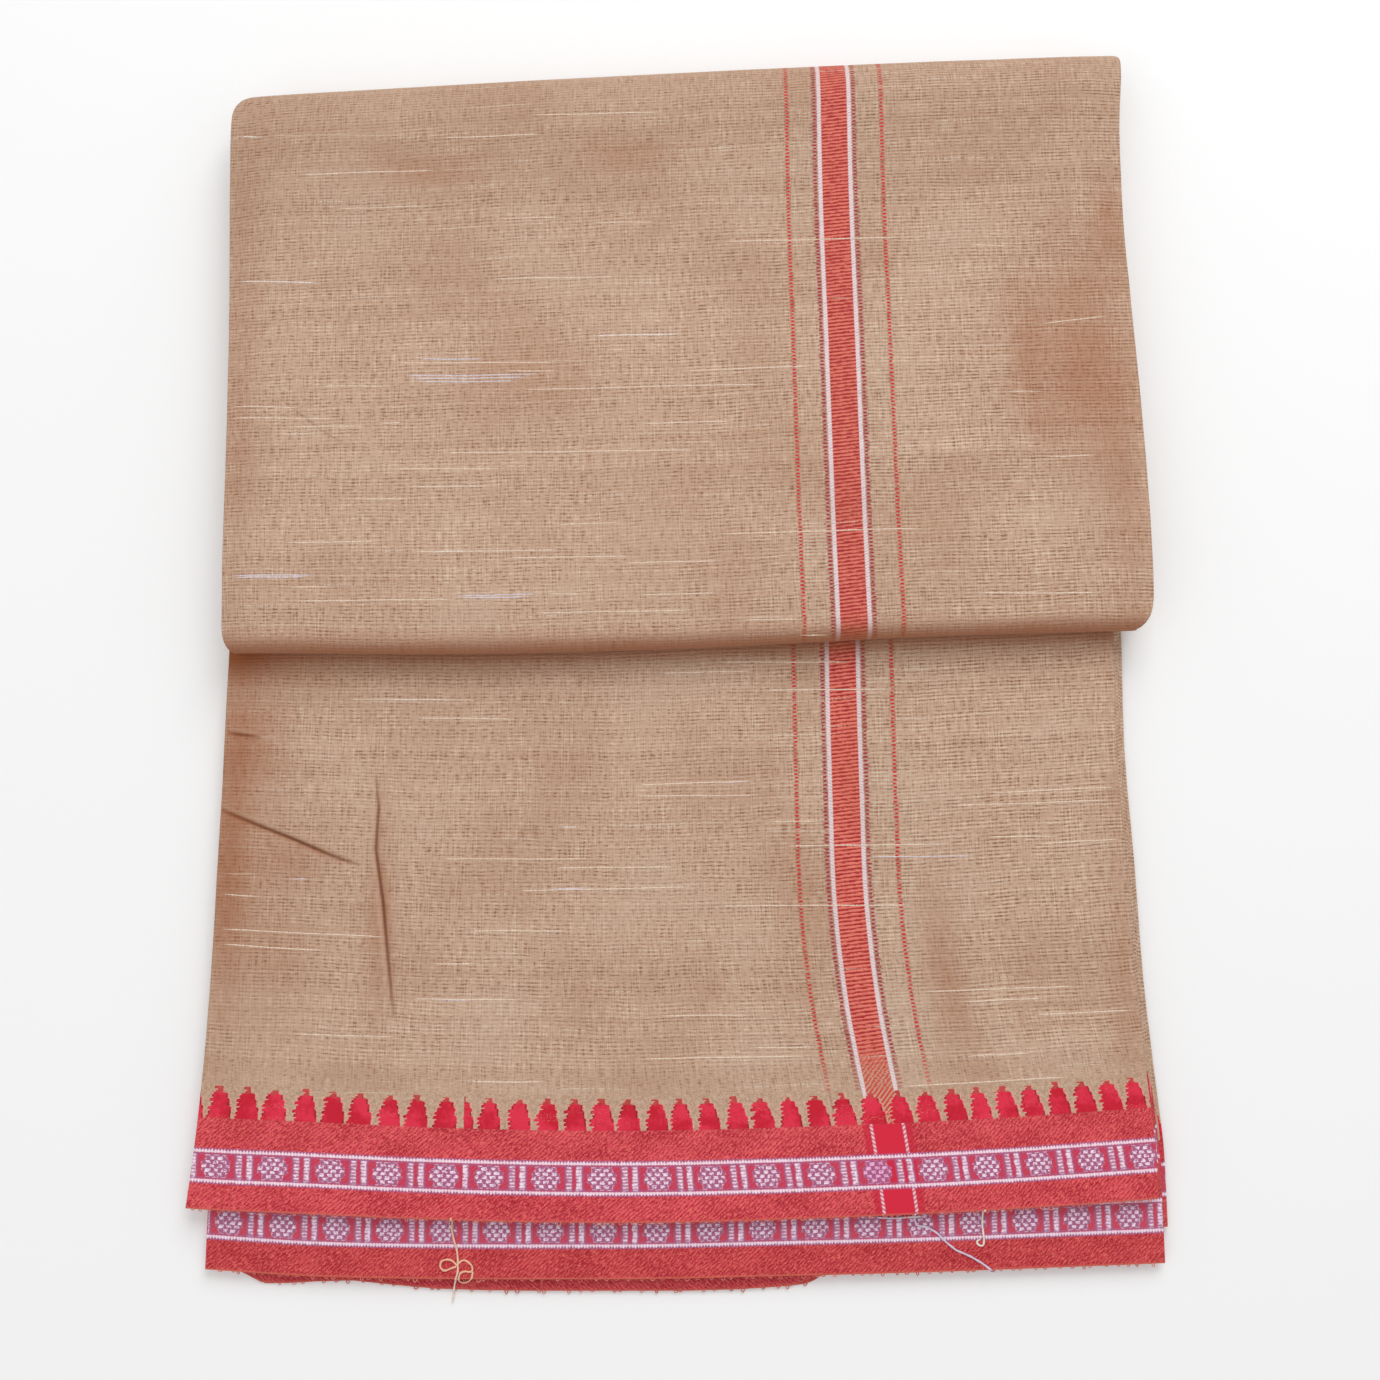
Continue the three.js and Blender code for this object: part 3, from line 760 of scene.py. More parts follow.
def field_cotton(name):
    """The beige field. Thick and thin weft makes ribs, single threads show, and a stripe crosses it."""
    material, u, v = start_cotton(name)
    lie = v + (cloudy(u / 38, v / 21) - 0.5) * 0.9
    ribbed = rising(v, *RIBS_FROM)
    _, (rib_tone, _, _) = chance(whole(lie / RIB + 0.25), 7.0)
    rib = wave(lie / RIB)
    patchy = rising(cloudy(u / 9.0, v / 3.6), 0.1, 0.85)
    weft = cloudy(u / 2.4, lie / 0.46) - 0.5
    warp = cloudy(u / 0.6, v / 7.0) - 0.5
    thread_seen, _ = chance(whole(u / 0.52), whole(v / 46.0))
    single = rising(thread_seen, 0.84, 0.92) * rising(patchy, 0.1, 0.7)
    to_right = 0.6 + 0.28 * rising(u, -90.0, 40.0)
    ground_rib = rib * (0.12 + 0.32 * patchy) * (0.1 + 0.9 * ribbed) * to_right
    weave = 0.5 + ground_rib + 0.5 * weft + 0.4 * warp + 0.2 * single + 0.2 * (rib_tone - 0.5)
    beige = mixed(paint(148, 108, 84), paint(200, 166, 142), rising(weave, -0.1, 0.5))
    beige = mixed(beige, paint(230, 204, 180), rising(weave, 0.5, 1.25))
    gap = rising(0 - rib - 2.6 * warp - 1.4 * weft, 0.75, 2.1) * (0.25 + 0.75 * ribbed)
    beige = mixed(beige, paint(128, 88, 66), 0.42 * gap)
    worn = cloudy(u / 52, v / 44, 3.0)
    beige = mixed(beige, paint(176, 132, 104), 0.3 * rising(worn, 0.35, 0.95))
    beige = mixed(beige, paint(208, 182, 160), 0.3 * rising(0.9 - worn, 0.35, 0.95))
    # Painted shade: a little duller round the top bend.
    beige = mixed(beige, paint(130, 108, 90), 0.16 * within(v - BEND_SHADE_AT, 60.0, 45.0))

    # The stripe: a ribbed orange-red middle, a white line at each side, a maroon line of dashes outside
    # it, and a thin red one further out. Near the border its middle turns to twill.
    away = distance(u)
    dash = rising(wave(lie / RIB), -0.6, 0.25) * rising(warp + weft, -0.75, -0.35)
    dash = dash * (0.6 + 0.4 * ribbed)
    turned_over = rising(v, *OVER_BEND)  # there v runs down the panel, and so the ribs lean the other way
    lean = 0.08 - 0.16 * turned_over
    level = wave((lean * u - v) / STRIPE_RIB + 0.35 * weft)
    ridge = rising(level + 0.6 * weft + 0.4 * warp, -1.0, 0.8)
    middle_red = mixed(paint(172, 44, 50), paint(236, 130, 112), ridge)
    near_spikes = stripe_twill(u, v, 0.6 * weft)
    middle_red = mixed(near_spikes, middle_red, rising(v, *STRIPE_RIBS_FROM))
    # Painted shade: the stripe's middle a little darker past the top bend.
    middle_red = mixed(middle_red, paint(134, 60, 50), 0.14 * turned_over)
    stripe = mixed(beige, middle_red, within(u, STRIPE_HALF, 0.25) * (0.9 + 0.1 * ribbed))
    thread = 0.45 + 0.5 * rising(wave((lie + 0.5 * u) / 1.05) + weft, -0.7, 0.3)
    stripe = mixed(stripe, paint(*STRIPE_WHITE), within(away - WHITE_LINE, 0.74, 0.25) * thread)
    maroon = within(away - MAROON_LINE + 0.9 * weft, 0.8, 0.4)
    stripe = mixed(stripe, paint(166, 50, 70), maroon * dash)
    thin_red = within(away - RED_LINE + 0.9 * weft, 0.75, 0.35)
    stripe = mixed(stripe, paint(202, 50, 54), thin_red * dash)

    # Slubs: thick places in single weft threads, cream and beaded, over ground and stripe alike.
    yarn = lie / THREAD
    _, (row_shift, _, _) = chance(whole(yarn), 11.0)
    stretch = u / 74.0 + row_shift
    picked, (slub_at, slub_long, _) = chance(whole(yarn), whole(stretch))
    from_slub = distance(part(stretch) - 0.3 - 0.4 * slub_at)
    slub = rising(picked, 0.970, 0.973) * (1 - rising(from_slub / (0.06 + 0.24 * slub_long), 0.5, 1.0))
    slub = slub * rising(warp, -0.3, 0.1) * within(part(yarn) - 0.5, 0.45, 0.1)
    colour = mixed(stripe, paint(236, 214, 194), 0.6 * slub)
    # Painted shade laid on the mesh: at folds, creases, hollows and under the folded-over third, and in
    # places the cloth's own brown.
    colour = mixed(colour, paint(158, 93, 56), 0.78 * laid_on("shade"))

    # A sharp crease gets a painted shade line, with a painted highlight along its edge on the side of its
    # ridge.
    from_crease = laid_on("from_crease")
    pressed = laid_on("pressed")
    line = (1 - rising(distance(from_crease), 0.15, 0.85)) * pressed
    colour = mixed(colour, paint(224, 194, 168), 0.3 * within(from_crease - 1.5, 0.7, 0.5) * pressed)
    colour = mixed(colour, paint(98, 58, 38), 0.7 * line)
    height = 0.5 * (0.4 * rib * ribbed + weft + 0.7 * single) + 0.5 * slub
    finish_cotton(material, colour, height, 0.93 - 0.08 * slub)
    return material


def border_cotton(name, raised, white, white_shadow, band_ground, red_dark, red_light):
    """The woven border. Its figured band sits higher up by what raised says, and its colours differ
    between the two faces of the cloth."""
    material, u, v = start_cotton(name)
    shade = laid_on("shade")
    away = distance(u)
    grain = cloudy(u / 1.5, v / 1.5) - 0.5
    fine_grain = cloudy(u / 0.55, v / 0.5) - 0.5
    low_line = BAND[0] + raised
    high_line = BAND[1] + raised

    # Red twill, its fine ridges leaning to the right, with orange and dark specks.
    twill = wave((u - 1.15 * v) / TWILL + 0.45 * grain)
    speck = cloudy((u - 1.15 * v) / 0.7, (u + 0.9 * v) / 2.4)
    faded = cloudy(u / 16.0, v / 9.0, 2.0)
    lightness = twill * (0.18 + 0.24 * faded) + 0.5 * faded + 0.9 * fine_grain + 0.5 * grain
    red = mixed(red_dark, red_light, rising(lightness, -0.5, 1.0))
    red = mixed(red, paint(244, 128, 112), 0.55 * rising(speck + 0.35 * fine_grain, 0.6, 0.95))
    red = mixed(red, paint(136, 22, 36), 0.5 * rising(0.4 - speck + 0.3 * fine_grain, 0.05, 0.35))
    block = within(u, STRIPE_HALF, 0.3)
    red = mixed(red, paint(206, 34, 60), 0.7 * within(u, 8.8, 0.5))
    red = mixed(red, paint(222, 38, 64), block * 0.95)
    dotted = rising(wave((v - 0.7 * away) / 1.5), -0.2, 0.3)
    red = mixed(red, white, within(away - WHITE_LINE, 0.5, 0.25) * (0.2 + 0.6 * dotted))

    # Figured band: checked lozenges and pairs of bars between two toothed white lines.
    before_short = 1 - rising(u, SHORT_AT - 0.01, SHORT_AT)
    turn = (u - LOZENGE_AT - SHORT_BY * before_short) / MOTIF
    v_band = v - (low_line + high_line) / 2 + 0.35 * grain
    from_lozenge = (part(turn + 0.5) - 0.5) * MOTIF + 0.7 * grain
    from_bars = (part(turn) - 0.5) * MOTIF + 0.4 * grain
    in_row = wave(from_lozenge / CHECK_PITCH + 0.25)
    by_row = wave(v_band / (2 * CHECK_ROW) + 0.25)
    lozenge_half = 5.2 - 0.42 * distance(v_band) - 0.35 * by_row
    inside = within(from_lozenge, lozenge_half, 0.35)
    inside = inside * within(v_band, 3.9, 0.3)
    check = rising(0 - in_row * by_row + 0.3 * distance(by_row) + 0.5 * fine_grain, -0.15, 0.2)
    check = check * rising(distance(by_row), 0.2, 0.5)
    rungs = rising(wave(v_band / TOOTH) + 0.25 * from_bars + 1.0 * fine_grain + grain, -0.7, 0.3)
    bar = within(distance(from_bars) - 1.78, 0.9, 0.3) * within(v_band, 4.2, 0.3)
    bar_shadow = within(distance(from_bars) - 1.95, 1.4, 0.35) * within(v_band, 4.6, 0.3)
    band = mixed(band_ground, paint(216, 84, 94), rising(0.7 * twill + fine_grain, -0.3, 0.9) * 0.7)
    band = mixed(band, paint(216, 32, 66), 0.8 * within(u, 8.0, 0.4))
    band = mixed(band, white_shadow, either(inside * 0.8, bar_shadow * 0.75))
    figure = either(inside * check * rising(fine_grain + grain, -0.75, 0.1), bar * (0.2 + 0.8 * rungs))
    lit = mixed(white, paint(255, 156, 226), 0.6 * within(u + 6.0, 5.5, 1.0))
    band = mixed(band, lit, figure * (0.86 + 0.5 * grain))
    in_band = rising(v, low_line, low_line + 0.2) * (1 - rising(v, high_line - 0.2, high_line))
    red = mixed(red, band, in_band)
    tooth = distance(part(u / TOOTH) - 0.5) + 0.3 * grain

    def along_lines(outward, half, soft):
        """1 along both of the band's lines, moved outward from the band."""
        from_low = low_line - v - outward
        from_high = v - high_line - outward
        return either(within(from_low, half, soft), within(from_high, half, soft))

    lines = along_lines(0.45 * tooth, 0.28 + 0.8 * tooth, 0.18)
    line_shadow = along_lines(0.75, 0.4, 0.3)
    under_line = along_lines(-0.8, 0.3, 0.25)
    red = mixed(red, white_shadow, either(0.75 * line_shadow, 0.55 * under_line))
    red = mixed(red, white, 0.95 * lines * (0.8 + 0.4 * tooth))

    # Spikes: stepped figures in extra weft above the border, no two quite alike.
    height = v - BORDER
    moved = SPIKES_MOVED * rising(u, -115.0, -45.0)
    spike_turn = 2 * turn + 0.5 - 2 / MOTIF * moved
    _, (lean, girth, squat) = chance(whole(spike_turn), 3.0)
    ragged, (notch, stub, _) = chance(whole(height / SPIKE_ROW), whole(spike_turn))
    from_spike = (part(spike_turn) - 0.5) * (MOTIF / 2) + (lean - 0.5) * 0.9 + (notch - 0.5) * 0.5
    spike_half = SPIKE_HALF
    for narrower, low, high in SPIKE_STEPS:
        spike_half = spike_half - narrower * rising(height, low, high)
    row_share = part(height / SPIKE_ROW)
    on_left = rising(0 - from_spike, -0.4, 0.4)
    notched = 0.75 * on_left * rising(row_share, 0.58, 0.78)
    spike_half = spike_half + (girth - 0.5) * 0.5 + (ragged - 0.5) * (0.25 + 0.5 * on_left) - notched
    outside = distance(from_spike) - spike_half + 0.25 * fine_grain
    in_spikes = rising(height, -0.2, 0.0) * (1 - rising(height + squat, SPIKES - 0.3, SPIKES))
    spike = (1 - rising(outside, -0.15, 0.15)) * in_spikes
    rim = (1 - rising(outside, 0.6, 1.1)) * in_spikes * rising(row_share + 0.6 * fine_grain, 0.35, 0.7)
    crimson = mixed(paint(204, 26, 50), paint(230, 50, 76), rising(faded + 0.3 * grain, 0.2, 0.8))
    dark_edge = within(outside + 0.35, 0.3, 0.2) * rising(stub, 0.5, 0.7)
    crimson = mixed(crimson, paint(124, 26, 34), 0.75 * dark_edge)
    crimson = mixed(crimson, paint(180, 84, 70), 0.65 * rising(height + grain, 8.6, 9.4))
    crimson = mixed(crimson, paint(240, 120, 114), 0.6 * rising(fine_grain + ragged, 1.15, 1.35))

    # The ground between the spikes, with the stripe crossing it, and then all of it together.
    weave = 0.5 + 0.6 * fine_grain + 0.5 * grain
    beige = mixed(paint(176, 140, 116), paint(212, 182, 158), rising(weave, -0.05, 1.05))
    thin_red = within(away - RED_LINE, 0.4, 0.3) * rising(grain, -0.2, 0.1)
    beige = mixed(beige, paint(150, 66, 62), 0.45 * thin_red)
    beige = mixed(beige, stripe_twill(u, v, 0.0), block)
    beige = mixed(beige, paint(*STRIPE_WHITE), within(away - WHITE_LINE, 0.6, 0.3) * 0.8)
    # Painted shade laid on the mesh, as on the field; on the red it also gives the painted shadow on the
    # hem under the second leaf.
    beige = mixed(beige, paint(166, 94, 50), 0.78 * shade)
    red = mixed(paint(222, 112, 92), red, 0.3 + 0.7 * rising(v, 0.2, 1.0))
    red = mixed(red, paint(120, 30, 36), 0.25 * shade)
    colour = mixed(red, beige, rising(v, BORDER - 0.15, BORDER + 0.15))
    colour = mixed(colour, paint(240, 166, 148), 0.8 * rim)
    colour = mixed(colour, crimson, spike)
    standing = either(either(lines, in_band * figure), spike)
    finish_cotton(material, colour, 0.14 * twill + 0.5 * standing, 0.93 - 0.2 * either(spike, block))
    return material


field = field_cotton("beige_field")
face_border = border_cotton(
    "woven_border",
    raised=0.0,
    white=paint(255, 232, 246),
    white_shadow=paint(170, 104, 146),
    band_ground=paint(202, 62, 94),
    red_dark=paint(176, 34, 50),
    red_light=paint(242, 96, 104),
)
outer_cloth.data.materials.append(field)
outer_cloth.data.materials.append(face_border)
outer_width = 2 * outer_span * MM
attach(outer_cloth, "root")
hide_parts("upper_panel", "back_panel", "back_border")

# ---- The front leaf ----------------------------------------------------------------------------------
# The front of the lower part, from the crease under the folded-over third down to its selvedge with the
# woven red border. Its left side fold is turned down a little, and a few sharp creases are pressed in.
front_level = (LEAVES - 1) * (LEAF + AIR) + LEAF
LOWER_STRIPE = smooth_line(
    (-184, -155, -135, -112, -76, -40, -3, 15.6),
    (73.9, 69.7, 65.7, 61.6, 57.9, 57.0, 56.5, 56.4),
)
HEM_STRIPE = 74.0
FOLLOWED = 55  # from this far up, rows turn from the run of the selvedge to that of the leaf's back
second_level = 2 * (LEAF + AIR)  # height of the second leaf's underside


def lying_rows(selvedge, back, distances, x):
    """Rows that follow a selvedge near it, and the back of the leaf further on."""
    hem = selvedge(x)
    end = back(x)
    length = end.mean() - hem.mean()
    ys = []
    for far in distances:
        turn = ease(far, FOLLOWED, length)
        ys.append((hem + far) * (1 - turn) + (end - length + far) * turn)
    return np.array(ys)


hem_rows = np.concatenate((
    np.arange(0, 117, 1.5),
    np.arange(117, 150, 0.75),  # closer rows under the sharp creases
    np.arange(150, 206, 1.5),
    np.arange(210, 392, 13),
))


def front_path(x):
    y = lying_rows(front_selvedge, lambda at: top_bend(at) - CREASE, hem_rows, x)
    places = np.broadcast_to(x, y.shape)
    return y, lower_height(places, y, front_level) + relief(LOWER_CREASES, places, y)


CREASED = 0.22  # share of the front leaf, from its left fold, with the sharp creases and closer columns
front_columns = ring(np.concatenate((np.linspace(0, CREASED, 95)[:-1], np.linspace(CREASED, 1, 178))), 26)
y, z, x, _ = laid_out(front_path, lower_edges, front_columns)
front_span = float((lower_right(y) - lower_left(y)).mean())
y, z, x, tuck = with_mouths(y, z, x)
in_mouth = (2.0, 0.2, 0.1, 0.0, 0.1, 0.3)  # each row's distance from the hem, where it turns in
at_back = hem_rows[-1] + np.arange(MOUTH_ROWS)
from_hem = np.concatenate((in_mouth, hem_rows[1:-1], at_back))[:, None]

# Places of painted shade on the front leaf, along its left fold, creases and hollows, partly the cloth's
# own brown: x, y, half width, half length, strength.
LOWER_SHADES = (
    (-168, -60, 9, 60, 0.8),
    (-160, -20, 14, 16, 0.5),
    (-145, -62, 16, 10, 0.45),
    (-150, -100, 14, 30, 0.35),
    (-112, -80, 5, 40, 0.4),
    (-165, 10, 20, 8, 0.4),
    (-60, -20, 30, 18, 0.12),
    (92, -105, 9, 36, 0.3),
    (40, -88, 12, 30, 0.16),
    (156, -90, 6, 60, 0.3),
)


def front_pattern(across, y):
    drift = (LOWER_STRIPE(y) - HEM_STRIPE) * ease(across, -60, 35)
    u = across - HEM_STRIPE - drift
    drawn_in = 0.074 * np.clip(u - 20, 0, None) - 0.021 * np.clip(-25 - u, 0, None)
    return u + drawn_in + 0.034 * np.clip(-86 - u, 0, None), from_hem


# Painted shadow that the folded-over third casts on the front leaf below its fold, reaching further at the
# left.
painted_fold_shadow = near_edge(np.clip(front_fold(x) - y, 0, None), 9 + 9 * ease(-x, 60, 170))
front_drawn = drawn_on(LOWER_CREASES, swells(LOWER_SHADES, x, y) + 0.85 * painted_fold_shadow, x, y)
front_cloth = make_leaf("front_cloth", y, z, x, tuck, front_columns, front_pattern, front_drawn)
front_cloth.data.materials.append(field)
front_cloth.data.materials.append(face_border)
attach(front_cloth, "root")
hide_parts("lower_panel", "lower_border")

# ---- The two leaves between --------------------------------------------------------------------------
# Between the back and front leaves the cloth makes two more runs, one inside the other: up the lower
# part, round the crease, along the folded-over third, round its front fold, and all the way back.
LOOSE = 2 * AIR  # the leaves in the folded-over third lie loosely
INNER_ROLL = 0.75 * ROLL_DEPTH
RUN_TURN = np.radians(np.linspace(-90, 90, 13)[1:-1])
FLAP_LEAF = (FLAP_LOFT - 2 * LEAF - 5 * LOOSE) / 4
RUNS = (
    {
        "name": "second_cloth",
        "nest": 2,
        "front_hem": (front_selvedge, 3.0),
        "back_hem": (second_selvedge, 0.0),
        "lower_in": ((3.2, -3.0), (2.0, -2.0)),
        "upper_in": ((1.9, 1.0), (0.9, 2.4)),
        "front_in": 3.8,
        "crease_back": 19,
        "bend_in": 5.0,
        "hem_sides": (-170.8, 167.5),
    },
    {
        "name": "third_cloth",
        "nest": 1,
        "front_hem": (front_selvedge, 1.5),
        "back_hem": (second_selvedge, 12.0),
        "lower_in": ((1.8, -4.4), (1.2, -0.9)),
        "upper_in": ((1.0, 2.0), (2.2, 1.2)),
        "front_in": 1.6,
        "crease_back": 12,
        "bend_in": 2.2,
        "hem_sides": (-167.5, 169.4),
    },
)


def run_path(run):
    nest = run["nest"]
    lower_front = (LEAVES - 1 - nest) * (LEAF + AIR) + LEAF
    lower_back = nest * (LEAF + AIR)
    flap_low = LEAF + LOOSE + (nest - 1) * (FLAP_LEAF + LOOSE)
    flap_high = LEAF + LOOSE + (4 - nest) * (FLAP_LEAF + LOOSE) + FLAP_LEAF
    hem, hem_in = run["front_hem"]
    end, end_in = run["back_hem"]

    def path(x):
        bend = top_bend(x)
        fold = front_fold(x)
        roll = fold + LEAF + LOOSE + run["front_in"]
        rows = []
        for t in np.linspace(0, 1, 40):
            y = blend(hem(x) + hem_in, bend - CREASE, t)
            rows.append((y, lower_height(x, y, lower_front), 0))
        turn_low = lower_height(x, bend - CREASE, lower_front)
        turn_high = upper_height(x, bend - CREASE, flap_low)
        for angle in RUN_TURN:
            y = bend - CREASE + run["crease_back"] * math.cos(angle)
            rows.append((y, turn_height(turn_low, turn_high, angle), (math.degrees(angle) + 90) / 180))
        for t in np.linspace(0, 1, 24):
            y = blend(bend - CREASE, roll + INNER_ROLL, t)
            rows.append((y, upper_height(x, y, flap_low), 1))
        low = upper_height(x, roll + INNER_ROLL, flap_low)
        high = upper_height(x, roll + INNER_ROLL, flap_high)
        for angle in RUN_TURN:
            y = roll + INNER_ROLL - INNER_ROLL * math.cos(angle)
            rows.append((y, turn_height(low, high, angle), 1 + (math.degrees(angle) + 90) / 180))
        for t in np.linspace(0, 1, 24):
            y = blend(roll + INNER_ROLL, bend - BEND_DEPTH, t)
            rows.append((y, upper_height(x, y, flap_high), 2))
        high = upper_height(x, bend - BEND_DEPTH, flap_high)
        reach = BEND_DEPTH - run["bend_in"]
        for angle in np.radians(np.linspace(90, 0, 11)[1:]):
            y = bend - BEND_DEPTH + reach * math.cos(angle)
            z = BEND_WAIST + (high - BEND_WAIST) * math.sin(angle)
            rows.append((y, z, 2 + (90 - math.degrees(angle)) / 180))
        floor_at = bend - run["bend_in"] - BEND_UNDER
        low = lower_height(x, floor_at, lower_back)
        for angle in np.radians(np.linspace(0, -90, 9)[1:]):
            y = bend - run["bend_in"] - BEND_UNDER * (1 - math.cos(angle))
            z = low + (BEND_WAIST - low) * (1 + math.sin(angle))
            rows.append((y, z, 2.5 - math.degrees(angle) / 180))
        length = (floor_at - end(x) - end_in).mean()
        for far in np.concatenate((np.linspace(length, 50, 34)[1:], np.arange(48, -1, -2.0))):
            y = blend(end(x) + end_in + far, floor_at, ease(far, 50, length) * far / length)
            rows.append((y, lower_height(x, y, lower_back), 3))
        ys, zs, stages = zip(*rows)
        run["stages"] = np.array(stages)[:, None]
        return np.array(ys), np.array(zs)

    return path


def run_edges(run, y):
    """Side folds of a run, which differ from leaf to leaf."""
    stage = run["stages"]
    lower = ease(stage, 0, 1) * (1 - ease(stage, 2, 3))
    (back_left, back_right), (front_left, front_right) = run["lower_in"]
    (over_left, over_right), (under_left, under_right) = run["upper_in"]
    late = ease(stage, 1, 2)
    left_low = lower_left(y) + blend(front_left, back_left, late)
    right_low = lower_right(y) - blend(front_right, back_right, late)
    hem = ease(-y, 150, 180) * (stage > 2.9)
    left_low = blend(left_low, run["hem_sides"][0], hem)
    right_low = blend(right_low, run["hem_sides"][1], hem)
    upper_l, upper_r = upper_edges(y)
    left_high = upper_l + blend(under_left, over_left, late)
    right_high = upper_r - blend(under_right, over_right, late)
    return blend(left_low, left_high, lower), blend(right_low, right_high, lower)


reverse_border = border_cotton(
    "woven_border_reverse",
    raised=1.3,
    white=paint(248, 226, 244),
    white_shadow=paint(166, 108, 146),
    band_ground=paint(200, 72, 98),
    red_dark=paint(168, 34, 46),
    red_light=paint(224, 86, 90),
)
SECOND_MOTIF = 18.72  # on the second leaf, which is drawn in a little
SECOND_LOZENGE = 6.5  # one of its lozenges, from the middle of the panel
FROM_STRIPE = 12  # motifs between that lozenge and the stripe
for run in RUNS:
    columns = ring(np.linspace(0, 1, 61), 60)
    y, z, x, run["width"] = laid_out(run_path(run), lambda at: run_edges(run, at), columns)
    run["length"] = mean_run(y, z)
    y, z, x, tuck = with_mouths(y, z, x)
    middle_run = path_length(y[:, 30:31], z[:, 30:31])
    from_end = np.abs(middle_run[-1] - middle_run - MOUTH)
    from_start = np.abs(middle_run - MOUTH)
    along = np.minimum(from_end, from_start)  # both of its ends are selvedges

    def run_pattern(across, y):
        seen = 2 * run["hem_sides"][1] - across  # the ply that shows is the one past the right fold
        uneven = 0.9 * ((np.clip(seen, -170, 170) / 130) ** 2 - 0.5)
        turns = FROM_STRIPE + (seen + uneven - SECOND_LOZENGE) / SECOND_MOTIF
        return turns * MOTIF + LOZENGE_AT, along

    plain = drawn_on((), np.zeros(x.shape), x, y)
    leaf = make_leaf(run["name"], y, z, x, tuck, columns, run_pattern, plain)
    leaf.data.materials.append(field)
    leaf.data.materials.append(reverse_border)
    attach(leaf, "root")
    run["leaf"] = leaf
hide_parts("second_border", "hidden_layers")
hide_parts("hidden_layers")

# The cut of cloth in each leaf, both plies, and its length between its ends.
for run in RUNS:
    flat = (2 * run["width"] * MM, run["length"] * MM)

# ---- The slubs ---------------------------------------------------------------------------------------
# Thick places in the weft, where the hand-spun yarn was left fuller. Each stands up from the cloth as a
# beaded cream ridge along one thread, woven in at both of its ends.
SLUB_STEP = 0.65
SLUB_THICK = 0.42
SLUB_INSIDE = 1.2  # its ends stay this far from the side folds
SLUB_SUNK = 0.1  # how far its middle lies under the cloth's face
SLUB_TAPER = 7  # points over which each of its ends thins out
TINTS = {
    "cream": paint(246, 226, 206),
    "white": paint(252, 246, 240),
    "bluish": paint(232, 226, 238),
    "faint": paint(224, 200, 176),
    "beige": paint(206, 172, 146),
}
UPPER_SLUBS = (  # places in the view: left, right, row at left, row at right, and a tint if not cream
    (231, 268, 137, 137, "white"), (268, 419, 136, 135, "faint"), (441, 544, 138, 134),
    (298, 437, 175, 170), (437, 513, 170, 167, "faint"), (334, 433, 209, 206),
    (236, 322, 282, 283, "white"), (493, 563, 219, 217), (489, 619, 279, 277),
    (285, 315, 180, 180, "faint"), (529, 664, 115, 112), (588, 659, 223, 222), (724, 904, 242, 237),
    (730, 774, 231, 231, "faint"), (680, 737, 288, 288, "faint"), (536, 615, 312, 310, "faint"),
    (966, 1013, 245, 246), (827, 856, 298, 298, "faint"), (1110, 1132, 302, 300), (1041, 1108, 324, 316),
    (1002, 1044, 391, 391), (1044, 1097, 457, 455), (718, 924, 534, 528), (974, 1103, 593, 593),
    (415, 487, 359, 359, "bluish"), (393, 560, 363, 362), (402, 541, 376, 374, "bluish"),
    (408, 530, 379, 377, "bluish"), (415, 520, 382, 381, "bluish"), (502, 562, 371, 371),
    (318, 393, 386, 386), (523, 764, 390, 384), (225, 302, 407, 408), (227, 339, 419, 419),
    (285, 367, 427, 426), (372, 409, 423, 423), (272, 322, 434, 434), (441, 699, 453, 450),
    (389, 504, 469, 469), (404, 497, 487, 486), (348, 412, 499, 499), (326, 406, 514, 514, "faint"),
    (283, 383, 543, 541), (409, 562, 552, 550), (424, 476, 552, 551, "white"), (504, 634, 558, 556),
    (229, 318, 576, 575, "bluish"), (232, 310, 578, 577, "bluish"), (318, 422, 576, 576, "faint"),
    (285, 335, 587, 587), (292, 456, 601, 599), (454, 541, 596, 594, "bluish"),
    (458, 530, 598, 597, "bluish"), (532, 695, 613, 610), (540, 587, 594, 594),
    (589, 683, 336, 334, "white"), (683, 730, 333, 332, "faint"), (603, 632, 350, 350),
    (540, 607, 361, 360, "faint"), (681, 813, 371, 366), (638, 736, 424, 421), (552, 628, 525, 522),
    (620, 724, 563, 561), (634, 720, 595, 593), (738, 805, 620, 619), (800, 828, 635, 635),
)
